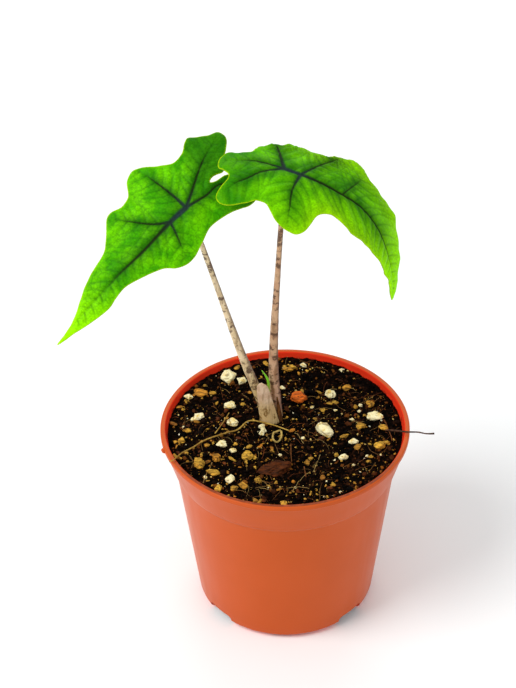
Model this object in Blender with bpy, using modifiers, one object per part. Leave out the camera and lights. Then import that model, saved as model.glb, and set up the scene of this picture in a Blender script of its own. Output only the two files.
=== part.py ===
"""A young potted alocasia: a small moulded nursery pot, its soil, and one plant with two arrow-shaped leaves.

Metres, +Z up. The origin is the centre of the pot's flat base, and the pot's axis is Z.
Run it with: blender --background --python part.py
"""

import math
import random

import bmesh
import bpy
from mathutils import Matrix, Vector, geometry

MM = 0.001
GAP = 0.3 * MM  # clearance between neighbouring pieces

# Pot: a 3 inch moulded nursery pot
POT_HEIGHT = 65.0 * MM
RIM_RADIUS = 38.5 * MM
BASE_RADIUS = 28.2 * MM
COLLAR_FOOT_Z = 52.5 * MM
COLLAR_FOOT_RADIUS = 34.9 * MM
BODY_TOP_RADIUS = 34.4 * MM
FOOT_RADIUS = 26.8 * MM  # where the rounded base corner meets the floor
WALL = 0.9 * MM
LIP_HEIGHT = 1.6 * MM
LIP_WIDTH = 1.7 * MM
FLOOR_THICKNESS = 1.0 * MM
POT_STEPS = 64

# Drain notches through the corner of wall and floor; azimuth 0 is the front (-Y), positive to the right
NOTCH_AZIMUTHS = (-49.5, 45.5, 135.0, -135.0)
NOTCH_WIDTH = 10.0 * MM
NOTCH_HEIGHT = 3.6 * MM
NOTCH_DEPTH = 8.0 * MM

SOIL_TOP = 62.3 * MM
SOIL_EDGE = 0.8 * MM  # how far the soil's top stops short of the wall
SOIL_EDGE_DROP = 0.5 * MM
SOIL_FOOT_RADIUS = 22.0 * MM  # the root ball narrows above the drain notches
SOIL_FOOT_RISE = 4.2 * MM
SOIL_STEPS = 48

# Crown: height above the soil and share of the full radius, from its foot to its top
CROWN_CENTRE = (-4.2 * MM, 8.0 * MM)
CROWN_RADIUS = 3.2 * MM
CROWN_STRETCH = 1.12  # along X
CROWN_LEVELS = [(-3.0 * MM, 0.55), (-1.8 * MM, 0.86), (0.0, 1.0), (1.6 * MM, 0.97), (3.6 * MM, 0.78)]
CROWN_SIDES = 16

# Dry sheath: a curved scale in front of the crown. Angles are in degrees about the crown's centre.
SHEATH_HEIGHT = 15.6 * MM
SHEATH_AZIMUTH = -6.0
SHEATH_LEAN = (-2.4 * MM, -0.2 * MM)  # how far the top stands from above the foot
SHEATH_RADIUS = (4.3 * MM, 3.9 * MM)  # at the foot and at the top
SHEATH_HALF_ANGLE = (44.0, 26.0)
SHEATH_THICKNESS = 0.4 * MM

# Leaves and their stalks
BLADE_THICKNESS = 0.7 * MM
EDGE_SPACING = 2.2
INNER_SPACING = 3.2
STALK_SPACING = 3.0

# Each blade is drawn flat, in millimetres: first number along the midrib from the leaf stalk's joint
# towards the tip, second number across it, positive to the blade's own left. It is then bent in three
# ways: the midrib pitches down from pitch, by pitch_rate degrees a millimetre behind and ahead of the
# joint; the blade rolls about it; and each side arches by so many degrees a millimetre. Roll and arch
# are given at the stations below. A positive roll lowers the left side.
STATIONS = (-20.0, 15.0, 58.0)

LEFT_BLADE = {
    "joint": (-27.3, -2.0, 145.7),
    "heading": -149.0,
    "pitch": 29.0,
    "pitch_rate": (0.9, 0.25),
    "roll": (30.0, 32.0, 32.0),
    "arch_left": (1.5, 3.0, 1.5),
    "arch_right": (1.0, 0.6, 0.6),
    "outline": [
        # tip, then down the right margin
        (53.0, 0.0), (46.0, -0.6), (39.5, -3.0), (34.0, -5.3), (29.0, -6.5), (24.5, -7.7), (20.7, -11.0),
        # first side lobe
        (18.0, -13.9), (15.5, -14.3), (12.5, -13.2), (9.5, -14.3),
        # second side lobe
        (7.0, -17.9), (4.2, -19.3), (1.4, -18.5), (-2.0, -15.4), (-5.5, -13.0), (-9.0, -13.7),
        # right hind lobe, back to the notch behind the joint
        (-11.6, -16.2), (-13.5, -17.0), (-17.0, -14.7), (-20.2, -14.2), (-21.4, -12.0), (-21.0, -9.9),
        (-19.1, -7.3), (-17.3, -5.5), (-15.9, -3.7), (-15.2, -2.2), (-14.1, -1.7), (-12.9, -2.1),
        (-11.7, -2.3), (-10.5, -2.0), (-9.8, -1.3),
        # left hind lobe
        (-11.0, -0.8), (-12.7, -0.7), (-14.6, -0.6), (-16.4, 0.2), (-18.0, 2.2), (-19.2, 6.4),
        (-18.2, 9.8), (-15.4, 10.5), (-12.5, 9.9), (-8.5, 9.1), (-1.5, 8.8), (3.0, 10.3),
        # left side lobe and margin, back to the tip
        (7.5, 12.0), (11.0, 12.0), (14.0, 10.6), (17.0, 8.0), (23.0, 5.6), (28.0, 4.1), (32.3, 4.3),
        (36.0, 4.7), (42.4, 3.4), (47.7, 1.7),
    ],
}

RIGHT_BLADE = {
    "joint": (0.3, 0.0, 156.6),
    "heading": -2.0,
    "pitch": 12.0,
    "pitch_rate": (1.0, 1.4),
    "roll": (-6.0, -9.0, -32.0),
    "arch_left": (2.0, 0.7, 0.6),
    "arch_right": (2.6, 1.8, 0.6),
    "outline": [
        # tip, then down the right margin
        (59.2, -2.2), (55.4, -3.9), (51.0, -4.8), (45.3, -6.6), (40.0, -7.8), (36.2, -8.8), (31.0, -9.5),
        (25.3, -11.0), (20.0, -10.7), (17.0, -10.3),
        # right side lobe
        (13.8, -11.3), (11.9, -13.1), (10.8, -16.0), (9.4, -18.7), (6.8, -20.2), (2.6, -19.6),
        (-0.7, -17.8), (-2.8, -15.3), (-4.7, -13.2), (-7.3, -12.6),
        # right hind lobe, back to the notch behind the joint
        (-10.1, -13.4), (-15.2, -13.9), (-17.8, -13.3), (-19.1, -11.8), (-18.9, -10.0), (-17.1, -7.4),
        (-15.6, -5.2), (-15.6, -3.6),
        # left hind lobe
        (-17.0, -2.0), (-18.4, -0.8), (-18.2, 3.0), (-16.0, 6.4), (-12.4, 6.6), (-9.2, 6.9),
        # left side lobes, with a nick between the first and the second
        (-8.0, 8.6), (-5.7, 11.4), (-2.6, 13.5), (-0.6, 12.8), (1.4, 14.8), (4.2, 14.2), (8.0, 12.4),
        (12.2, 12.6), (16.7, 15.6), (20.8, 17.4), (24.2, 16.4), (26.6, 13.6),
        # left margin, back to the tip
        (31.4, 11.8), (35.6, 10.9), (39.6, 9.0), (42.9, 6.7), (46.8, 4.2), (50.2, 2.2), (54.0, 0.5),
        (58.0, -0.8),
    ],
}

# Leaf stalks, from the crown up: points and the stalk's radius there, in millimetres
LEFT_STALK = [
    ((-6.9, 8.2, 66.6), 1.50), ((-9.0, 7.2, 74.4), 1.45), ((-13.1, 6.0, 88.5), 1.25),
    ((-18.3, 3.5, 109.8), 0.92), ((-23.7, 0.5, 132.2), 0.78), ((-26.6, -1.4, 142.2), 0.75),
]
RIGHT_STALK = [
    ((-3.0, 8.6, 66.3), 1.55), ((-3.2, 8.2, 79.9), 1.45), ((-2.9, 6.9, 95.0), 1.25),
    ((-1.9, 4.8, 115.0), 0.90), ((-0.5, 2.4, 139.0), 0.76), ((0.2, 0.5, 153.4), 0.74),
]
STALK_TOP_GAP = 1.1  # from the blade's mid surface to the centre of the stalk's cut end

SHOOT = [
    ((-4.8, 6.1, 66.5), 0.45), ((-4.8, 6.1, 73.7), 0.42), ((-5.1, 6.0, 77.8), 0.38), ((-6.8, 5.5, 81.7), 0.14),
]

# Roots that lie on the soil, with the height of the root's centre
ROOT_LEVEL = 63.0
OVER_RIM = 65.75
LONG_ROOT = [
    ((1.2, -0.9, ROOT_LEVEL), 0.30), ((-4.4, 2.3, ROOT_LEVEL), 0.34), ((-10.8, 4.2, ROOT_LEVEL), 0.36),
    ((-14.6, 0.0, ROOT_LEVEL), 0.38), ((-18.4, -1.6, ROOT_LEVEL), 0.38), ((-24.7, -4.8, ROOT_LEVEL), 0.36),
    ((-28.3, -8.6, 63.4), 0.34), ((-31.5, -13.4, 65.3), 0.30), ((-33.8, -17.0, OVER_RIM), 0.26),
    ((-35.2, -17.8, OVER_RIM), 0.22),
]
FORK_ROOT = [
    ((-17.3, 8.3, ROOT_LEVEL), 0.26), ((-19.4, 3.0, ROOT_LEVEL), 0.28), ((-21.6, -1.6, ROOT_LEVEL), 0.30),
]
RIM_ROOT = [
    ((31.0, -1.5, ROOT_LEVEL), 0.30), ((34.0, -4.6, 65.2), 0.32), ((37.5, -5.9, OVER_RIM), 0.34),
    ((40.6, -6.1, OVER_RIM), 0.30), ((43.0, -6.9, OVER_RIM), 0.24), ((45.9, -6.9, OVER_RIM), 0.40),
]

# Grains on the soil: x, y, width, depth, in millimetres, and a turn in degrees where there is one
PERLITE = [
    (-17.6, 27.3, 4.6, 5.2), (-13.2, 25.2, 2.8, 2.8), (-30.0, 17.0, 2.8, 2.8), (-17.5, 12.4, 3.4, 3.1),
    (-26.7, 7.1, 3.7, 2.5), (-16.3, 3.9, 3.4, 2.8), (-19.6, -6.4, 2.6, 2.5), (-16.1, -9.4, 1.9, 1.9),
    (-17.0, -22.5, 2.2, 3.4), (14.6, 17.6, 3.1, 3.7), (12.3, -0.5, 4.4, 7.0, 32.0), (28.0, 5.4, 4.6, 3.1),
    (17.5, -13.3, 2.8, 2.2), (21.3, -6.1, 2.8, 1.9), (-7.0, 0.4, 2.0, 4.4), (18.8, 29.3, 2.5, 1.9),
]
BARK = [
    (-26.9, 18.9, 4.3, 3.0), (5.0, 15.7, 4.6, 4.0), (-11.7, -12.1, 2.8, 3.1), (-26.6, -15.4, 3.1, 3.4),
    (-21.1, -12.9, 2.5, 2.5), (-21.9, -19.4, 3.7, 2.2), (-3.4, -18.8, 8.8, 4.3, 20.0), (29.0, -8.3, 3.4, 2.2),
]
GRAIN_HEIGHT = 0.75  # share of the smaller of width and depth
GRAIN_SINK = 0.35  # how much of a grain's height is in the soil
GRAIN_SWELL = (-0.10, 0.04)  # how far its skin strays from an ellipsoid


def clear_scene():
    for obj in list(bpy.data.objects):
        bpy.data.objects.remove(obj, do_unlink=True)


def new_collection(name):
    collection = bpy.data.collections.new(name)
    bpy.context.scene.collection.children.link(collection)
    return collection


def material(name, colour, roughness, metallic=0.0):
    made = bpy.data.materials.new(name)
    made.use_nodes = True
    shader = made.node_tree.nodes["Principled BSDF"]
    shader.inputs["Base Color"].default_value = (*colour, 1.0)
    shader.inputs["Roughness"].default_value = roughness
    shader.inputs["Metallic"].default_value = metallic
    made.diffuse_color = (*colour, 1.0)
    return made


def add_mesh_object(name, bm, finish, collection):
    bmesh.ops.recalc_face_normals(bm, faces=bm.faces)
    mesh = bpy.data.meshes.new(name)
    bm.to_mesh(mesh)
    bm.free()
    obj = bpy.data.objects.new(name, mesh)
    obj.data.materials.append(finish)
    collection.objects.link(obj)
    return obj


def add_cutter(name, bm, target):
    """A hidden mesh that the target subtracts."""
    cutter = add_mesh_object(name, bm, MATERIALS["cutter"], CUTTERS)
    cutter.hide_render = True
    cutter.display_type = "WIRE"
    cut = target.modifiers.new(name, "BOOLEAN")
    cut.operation = "DIFFERENCE"
    cut.solver = "EXACT"
    cut.object = cutter
    return cutter


def turned(name, profile, steps, finish, collection):
    """A solid of revolution about Z from (radius, height) points that run down the outer side."""
    bm = bmesh.new()
    points = [bm.verts.new((radius, 0.0, height)) for radius, height in profile]
    for start, end in zip(points, points[1:]):
        bm.edges.new((start, end))
    mesh = bpy.data.meshes.new(name)
    bm.to_mesh(mesh)
    bm.free()
    obj = bpy.data.objects.new(name, mesh)
    mesh.materials.append(finish)
    collection.objects.link(obj)
    screw = obj.modifiers.new("Turn", "SCREW")
    screw.steps = steps
    screw.render_steps = steps
    screw.use_merge_vertices = True
    screw.merge_threshold = 0.00001
    screw.use_smooth_shade = True
    return obj


def catmull_rom(points, spacing, closed=False):
    """Points about spacing apart on a smooth curve through the given tuples of numbers."""
    count = len(points)
    smooth = []
    for index in range(count if closed else count - 1):
        if closed:
            before, start, end, after = (points[(index + shift) % count] for shift in (-1, 0, 1, 2))
        else:
            before = points[max(index - 1, 0)]
            start, end = points[index], points[index + 1]
            after = points[min(index + 2, count - 1)]
        steps = max(1, round(math.dist(start[:3], end[:3]) / spacing))
        for step in range(steps):
            t = step / steps
            smooth.append(tuple(
                0.5 * (2 * b + (c - a) * t + (2 * a - 5 * b + 4 * c - d) * t * t
                       + (3 * b - a - 3 * c + d) * t ** 3)
                for a, b, c, d in zip(before, start, end, after)
            ))
    if not closed:
        smooth.append(tuple(points[-1]))
    return smooth


def tube(name, route, spacing, finish, collection):
    """A tapering round stalk along ((x, y, z), radius) stations given in millimetres."""
    stations = catmull_rom([(*point, radius) for point, radius in route], spacing)
    curve = bpy.data.curves.new(name, "CURVE")
    curve.dimensions = "3D"
    curve.bevel_depth = 1.0 * MM
    curve.bevel_resolution = 2
    curve.use_fill_caps = True
    spline = curve.splines.new("POLY")
    spline.points.add(len(stations) - 1)
    for point, (x, y, z, radius) in zip(spline.points, stations):
        point.co = (x * MM, y * MM, z * MM, 1.0)
        point.radius = radius
    curve.materials.append(finish)
    obj = bpy.data.objects.new(name, curve)
    collection.objects.link(obj)
    return obj


def pot_inner_radius(height):
    """Radius of the pot's inner wall, in metres, at a height in metres."""
    if height < COLLAR_FOOT_Z:
        share = height / COLLAR_FOOT_Z
        return BASE_RADIUS + share * (BODY_TOP_RADIUS - BASE_RADIUS) - WALL
    share = (height - COLLAR_FOOT_Z) / (POT_HEIGHT - LIP_HEIGHT - COLLAR_FOOT_Z)
    collar_top = RIM_RADIUS - LIP_WIDTH
    return BODY_TOP_RADIUS - WALL + min(share, 1.0) * (collar_top - BODY_TOP_RADIUS + WALL)


def make_pot():
    collar_top_z = POT_HEIGHT - LIP_HEIGHT
    corner = 0.4 * MM
    collar_step = 0.3 * MM
    foot_rise = (0.6 * MM, 1.8 * MM)
    profile = [
        (0.0, FLOOR_THICKNESS),
        (pot_inner_radius(FLOOR_THICKNESS), FLOOR_THICKNESS),
        (pot_inner_radius(COLLAR_FOOT_Z), COLLAR_FOOT_Z),
        (pot_inner_radius(collar_top_z), collar_top_z),
        (RIM_RADIUS - LIP_WIDTH, POT_HEIGHT - corner),
        (RIM_RADIUS - LIP_WIDTH + corner, POT_HEIGHT),
        (RIM_RADIUS - corner, POT_HEIGHT),
        (RIM_RADIUS, POT_HEIGHT - corner),
        (RIM_RADIUS, collar_top_z),
        (RIM_RADIUS - corner, collar_top_z - corner),
        (COLLAR_FOOT_RADIUS, COLLAR_FOOT_Z),
        (BODY_TOP_RADIUS, COLLAR_FOOT_Z - collar_step),
        (BASE_RADIUS + corner / 2, foot_rise[1]),
        (BASE_RADIUS - corner, foot_rise[0]),
        (FOOT_RADIUS, 0.0),
        (0.0, 0.0),
    ]
    pot = turned("pot", profile, POT_STEPS, MATERIALS["terracotta plastic"], PARTS)
    for number, azimuth in enumerate(NOTCH_AZIMUTHS, 1):
        bm = bmesh.new()
        bmesh.ops.create_cube(bm, size=1.0)
        low = -1.0 * MM  # the cutter reaches below the base
        size = Vector((NOTCH_WIDTH, NOTCH_DEPTH, NOTCH_HEIGHT - low))
        bmesh.ops.scale(bm, vec=size, verts=bm.verts)
        middle = Vector((0.0, -BASE_RADIUS, (NOTCH_HEIGHT + low) / 2))
        bmesh.ops.translate(bm, vec=middle, verts=bm.verts)
        cutter = add_cutter(f"notch_cutter_{number}", bm, pot)
        cutter.rotation_euler.z = math.radians(azimuth)
    return pot


def make_soil():
    """The root ball fills the pot, and the crown and the grains each sit in a pocket of it."""
    bottom = FLOOR_THICKNESS + GAP
    shoulder = SOIL_TOP - SOIL_EDGE_DROP
    profile = [(0.0, SOIL_TOP), (pot_inner_radius(SOIL_TOP) - GAP - SOIL_EDGE, SOIL_TOP)]
    profile += [(pot_inner_radius(level) - GAP, level) for level in (shoulder, COLLAR_FOOT_Z, SOIL_FOOT_RISE)]
    profile += [(SOIL_FOOT_RADIUS, bottom), (0.0, bottom)]
    return turned("soil", profile, SOIL_STEPS, MATERIALS["soil"], PARTS)


def crown_mesh(margin):
    """The swollen foot of the plant, larger by margin all round."""
    bm = bmesh.new()
    rings = []
    for index, (height, share) in enumerate(CROWN_LEVELS):
        lift = {0: -margin, len(CROWN_LEVELS) - 1: margin}.get(index, 0.0)
        radius = CROWN_RADIUS * share + margin
        ring = []
        for side in range(CROWN_SIDES):
            angle = 2 * math.pi * side / CROWN_SIDES
            x = CROWN_CENTRE[0] + CROWN_STRETCH * radius * math.cos(angle)
            y = CROWN_CENTRE[1] + radius * math.sin(angle)
            ring.append(bm.verts.new((x, y, SOIL_TOP + height + lift)))
        rings.append(ring)
    for lower, upper in zip(rings, rings[1:]):
        for side in range(CROWN_SIDES):
            after = (side + 1) % CROWN_SIDES
            bm.faces.new((lower[side], lower[after], upper[after], upper[side]))
    bm.faces.new(rings[0])
    bm.faces.new(rings[-1])
    return bm


def make_crown(soil):
    crown = add_mesh_object("crown", crown_mesh(0.0), MATERIALS["crown"], PARTS)
    add_cutter("crown_pocket", crown_mesh(GAP), soil)
    return crown


def make_sheath():
    """The dry bract that stands against the front of the crown: a curved scale with a rounded top."""
    rows, columns = 9, 9
    foot = SOIL_TOP + GAP
    height = SHEATH_HEIGHT - GAP
    bm = bmesh.new()
    grid = []
    for row in range(rows):
        share = row / (rows - 1)
        radius = between(SHEATH_RADIUS, share)
        rounding = math.sqrt(max(1.0 - share ** 6, 0.03))
        half_angle = between(SHEATH_HALF_ANGLE, share) * rounding
        line = []
        for column in range(columns):
            angle = math.radians(SHEATH_AZIMUTH + half_angle * (2 * column / (columns - 1) - 1))
            x = CROWN_CENTRE[0] + radius * math.sin(angle) + SHEATH_LEAN[0] * share
            y = CROWN_CENTRE[1] - radius * math.cos(angle) + SHEATH_LEAN[1] * share
            line.append(bm.verts.new((x, y, foot + share * height)))
        grid.append(line)
    for lower, upper in zip(grid, grid[1:]):
        for column in range(columns - 1):
            bm.faces.new((lower[column], lower[column + 1], upper[column + 1], upper[column]))
    sheath = add_mesh_object("old_sheath", bm, MATERIALS["dry sheath"], PARTS)
    shell = sheath.modifiers.new("Thickness", "SOLIDIFY")
    shell.thickness = SHEATH_THICKNESS
    shell.offset = 0.0
    return sheath


def between(ends, share):
    """The value that share of the way from the first end to the second."""
    return ends[0] + share * (ends[1] - ends[0])


def at_station(values, along):
    """The quadratic through the values at the three STATIONS, read at along."""
    total = 0.0
    for station, value in zip(STATIONS, values):
        term = value
        for other in STATIONS:
            if other != station:
                term *= (along - other) / (station - other)
        total += term
    return total


def blade_frame(blade, along):
    """Midrib point in millimetres, the blade's left direction and its upward normal there."""
    heading = math.radians(blade["heading"])
    forward = Vector((math.cos(heading), math.sin(heading), 0.0))
    left = Vector((-forward.y, forward.x, 0.0))
    start = math.radians(blade["pitch"])
    rate = math.radians(blade["pitch_rate"][along > 0])
    pitch = start + rate * along
    reach = (math.sin(pitch) - math.sin(start)) / rate
    drop = (math.cos(start) - math.cos(pitch)) / rate
    point = Vector(blade["joint"]) + forward * reach - Vector((0.0, 0.0, drop))
    normal = Vector((0.0, 0.0, math.cos(pitch))) + forward * math.sin(pitch)
    return point, left, normal


def blade_point(blade, along, across):
    """Where a point of the flat blade lies once the blade is bent, in millimetres."""
    point, left, normal = blade_frame(blade, along)
    side = 1.0 if across >= 0 else -1.0
    arch = math.radians(at_station(blade["arch_left" if across >= 0 else "arch_right"], along))
    arch = max(arch, 0.001)
    start = side * math.radians(at_station(blade["roll"], along))
    slope = start + arch * abs(across)
    reach = (math.sin(slope) - math.sin(start)) / arch
    drop = (math.cos(start) - math.cos(slope)) / arch
    return point + left * (side * reach) - normal * drop


def blade_normal(blade):
    """Upward normal of the bent blade at its joint."""
    _, left, normal = blade_frame(blade, 0.0)
    roll = math.radians(at_station(blade["roll"], 0.0))
    return normal * math.cos(roll) + left * math.sin(roll)


def inner_points(outline, spacing):
    """A triangular grid of points inside the outline and clear of it."""
    row_step = spacing * math.sqrt(3) / 2
    lows = [min(point[axis] for point in outline) for axis in (0, 1)]
    highs = [max(point[axis] for point in outline) for axis in (0, 1)]
    edges = list(zip(outline, outline[1:] + outline[:1]))
    found = []
    for row in range(int((highs[0] - lows[0]) / row_step) + 1):
        for column in range(int((highs[1] - lows[1]) / spacing) + 1):
            point = Vector((lows[0] + row * row_step, lows[1] + (column + 0.5 * (row % 2)) * spacing))
            crossings = 0
            nearest = math.inf
            for start, end in edges:
                if (start[1] > point.y) != (end[1] > point.y):
                    share = (point.y - start[1]) / (end[1] - start[1])
                    crossings += point.x < start[0] + share * (end[0] - start[0])
                foot, share = geometry.intersect_point_line(point, Vector(start), Vector(end))
                foot = Vector(start).lerp(Vector(end), min(max(share, 0.0), 1.0))
                nearest = min(nearest, (foot - point).length)
            if crossings % 2 and nearest > 0.45 * spacing:
                found.append(point)
    return found


def make_blade(name, blade):
    outline = catmull_rom(blade["outline"], EDGE_SPACING, closed=True)
    points = [Vector(point) for point in outline] + inner_points(outline, INNER_SPACING)
    count = len(outline)
    rim = [(index, (index + 1) % count) for index in range(count)]
    flat, _, faces, *_ = geometry.delaunay_2d_cdt(points, rim, [], 1, 0.0001)
    bm = bmesh.new()
    verts = [bm.verts.new(blade_point(blade, point.x, point.y) * MM) for point in flat]
    for face in faces:
        bm.faces.new([verts[index] for index in face])
    leaf = add_mesh_object(name, bm, MATERIALS["leaf"], PARTS)
    shell = leaf.modifiers.new("Thickness", "SOLIDIFY")
    shell.thickness = BLADE_THICKNESS
    shell.offset = 0.0
    leaf.data.shade_smooth()
    return leaf


def make_stalk(name, route, blade):
    """A leaf stalk that ends just under its blade's joint."""
    joint = Vector(blade["joint"])
    end = joint - blade_normal(blade) * STALK_TOP_GAP
    return tube(name, route + [(tuple(end), route[-1][1])], STALK_SPACING, MATERIALS["stalk"], PARTS)


def grain_mesh(x, y, width, depth, turn, seed, margin):
    """An uneven lump half sunk in the soil, larger by margin all round; sizes in millimetres."""
    height = GRAIN_HEIGHT * min(width, depth)
    half = (width / 2 + margin, depth / 2 + margin, height / 2 + margin)
    centre = Vector((x, y, SOIL_TOP / MM + height * (0.5 - GRAIN_SINK)))
    spin = Matrix.Rotation(math.radians(turn), 3, "Z")
    rng = random.Random(seed)
    bm = bmesh.new()
    bmesh.ops.create_icosphere(bm, subdivisions=2, radius=1.0)
    for vert in bm.verts:
        swell = 1.0 + rng.uniform(*GRAIN_SWELL)
        spot = Vector((vert.co.x * half[0], vert.co.y * half[1], vert.co.z * half[2])) * swell
        vert.co = (spin @ spot + centre) * MM
    return bm


def make_grains(kind, grains, finish, soil):
    for number, (x, y, width, depth, *turn) in enumerate(grains, 1):
        shape = (x, y, width, depth, sum(turn), f"{kind} {number}")
        name = f"{kind}_{number:02d}"
        add_mesh_object(name, grain_mesh(*shape, 0.0), finish, PARTS)
        add_cutter(f"{name}_pocket", grain_mesh(*shape, GAP / MM), soil)


clear_scene()
PARTS = new_collection("potted_alocasia")
CUTTERS = new_collection("cutters")
MATERIALS = {
    "cutter": material("cutter", (0.5, 0.5, 0.5), 0.5),
    "terracotta plastic": material("terracotta plastic", (0.60, 0.12, 0.04), 0.42),
    "soil": material("soil", (0.03, 0.015, 0.008), 0.9),
    "crown": material("crown", (0.50, 0.30, 0.18), 0.6),
    "dry sheath": material("dry sheath", (0.42, 0.27, 0.15), 0.7),
    "stalk": material("stalk", (0.48, 0.30, 0.20), 0.5),
    "leaf": material("leaf", (0.08, 0.33, 0.01), 0.4),
    "shoot": material("shoot", (0.15, 0.45, 0.03), 0.45),
    "root": material("root", (0.40, 0.26, 0.05), 0.6),
    "dark root": material("dark root", (0.12, 0.05, 0.02), 0.7),
    "perlite": material("perlite", (0.80, 0.72, 0.48), 0.8),
    "bark": material("bark", (0.38, 0.20, 0.05), 0.8),
}

make_pot()
SOIL = make_soil()
make_crown(SOIL)
make_stalk("petiole_left", LEFT_STALK, LEFT_BLADE)
make_stalk("petiole_right", RIGHT_STALK, RIGHT_BLADE)
make_blade("leaf_left", LEFT_BLADE)
make_blade("leaf_right", RIGHT_BLADE)
make_sheath()
tube("new_shoot", SHOOT, STALK_SPACING, MATERIALS["shoot"], PARTS)
tube("root_long", LONG_ROOT, STALK_SPACING, MATERIALS["root"], PARTS)
tube("root_fork", FORK_ROOT, STALK_SPACING, MATERIALS["root"], PARTS)
tube("root_over_rim", RIM_ROOT, STALK_SPACING, MATERIALS["dark root"], PARTS)
make_grains("perlite", PERLITE, MATERIALS["perlite"], SOIL)
make_grains("bark", BARK, MATERIALS["bark"], SOIL)
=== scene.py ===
"""The looks of a young potted alocasia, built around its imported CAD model.

Frame: +Z up, the front is -Y, and the origin is the centre of the pot's flat base. Lengths are in
millimetres, and piece() turns them into metres. Azimuths are degrees from the front, positive to the right.
"""

import math
import random

import bmesh
import bpy
import numpy as np
from mathutils import Matrix, Vector, geometry, noise


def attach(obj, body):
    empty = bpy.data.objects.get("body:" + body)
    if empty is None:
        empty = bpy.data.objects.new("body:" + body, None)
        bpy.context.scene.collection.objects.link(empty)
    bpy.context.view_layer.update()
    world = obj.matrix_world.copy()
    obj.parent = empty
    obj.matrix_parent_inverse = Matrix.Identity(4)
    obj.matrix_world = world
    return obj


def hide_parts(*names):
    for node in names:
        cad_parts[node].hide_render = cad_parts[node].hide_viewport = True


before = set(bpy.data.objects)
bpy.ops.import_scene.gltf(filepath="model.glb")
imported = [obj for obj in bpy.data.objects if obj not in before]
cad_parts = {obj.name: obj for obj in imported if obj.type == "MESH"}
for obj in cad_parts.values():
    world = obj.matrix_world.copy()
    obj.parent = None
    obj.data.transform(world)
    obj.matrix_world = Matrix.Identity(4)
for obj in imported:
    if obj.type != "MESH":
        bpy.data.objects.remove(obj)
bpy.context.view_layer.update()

MM = 0.001

# Camera
CAMERA_TARGET = (-7.85, 0.0, 95.94)
CAMERA_DISTANCE = 520.0
CAMERA_ELEVATION = 36.8
CAMERA_ROLL = -1.03
CAMERA_LENS = 91.24

# Pot
POT_HEIGHT = 65.0
RIM_RADIUS = 38.5
BASE_RADIUS = 28.2
FOOT_RADIUS = 26.8
COLLAR_FOOT_Z = 52.5
COLLAR_FOOT_RADIUS = 34.9
BODY_TOP_RADIUS = 34.4
WALL = 0.9
LIP_HEIGHT = 1.6
LIP_WIDTH = 1.7
FLOOR_THICKNESS = 1.0
NOTCH_AZIMUTHS = (-49.5, 45.5, 135.0, -135.0)
NOTCH_WIDTH = 10.0
NOTCH_HEIGHT = 3.6
NOTCH_DEPTH = 8.0
NOTCH_CORNER = 1.4
POT_STEPS = 256
POT_CORNER = 0.55
POT_STRIP = 4.0  # the longest step down the wall
POT_SHARP = 38.0  # degrees: edges sharper than this stay crisp
NUB = (-36.9, -10.6, 64.2)  # a torn bit of plastic on the rim

# Soil and crown
SOIL_TOP = 62.3
SOIL_CELL = 0.42
SOIL_GAP = 0.25  # between the root ball and the pot
BANK_RISE = 1.5  # the soil stands higher against the back of the wall
SOIL_FOOT_RADIUS = 22.0  # the root ball narrows above the drain notches
SOIL_FOOT_RISE = 4.2
CROWN_CENTRE = (-4.2, 8.0)
CROWN_RADIUS = 3.2
CROWN_STRETCH = 1.12

# Dry sheath: a curved scale in front of the crown. Angles are in degrees about the crown's centre.
SHEATH_HEIGHT = 15.6
SHEATH_AZIMUTH = -6.0
SHEATH_LEAN = (-2.4, -0.2)
SHEATH_RADIUS = (4.3, 3.9)
SHEATH_HALF_ANGLE = (44.0, 26.0)
SHEATH_THICKNESS = 0.34
SHEATH_ROWS = 56
SHEATH_COLUMNS = 36

# Leaf blades. Each is drawn flat: first number along the midrib from the joint towards the tip, second
# across it, positive to the blade's own left. It is then bent: the midrib pitches down from pitch by
# pitch_rate degrees a millimetre behind and ahead of the joint, the blade rolls about it, and each side
# arches by so many degrees a millimetre. Roll and arch are given at the stations below.
STATIONS = (-20.0, 15.0, 58.0)
LEAF_CELL = 0.34
LEAF_THICKNESS = 0.42
LEAF_EDGE_THICKNESS = 0.16
CRINKLE = 0.30  # how far a ruffled margin strays

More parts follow.
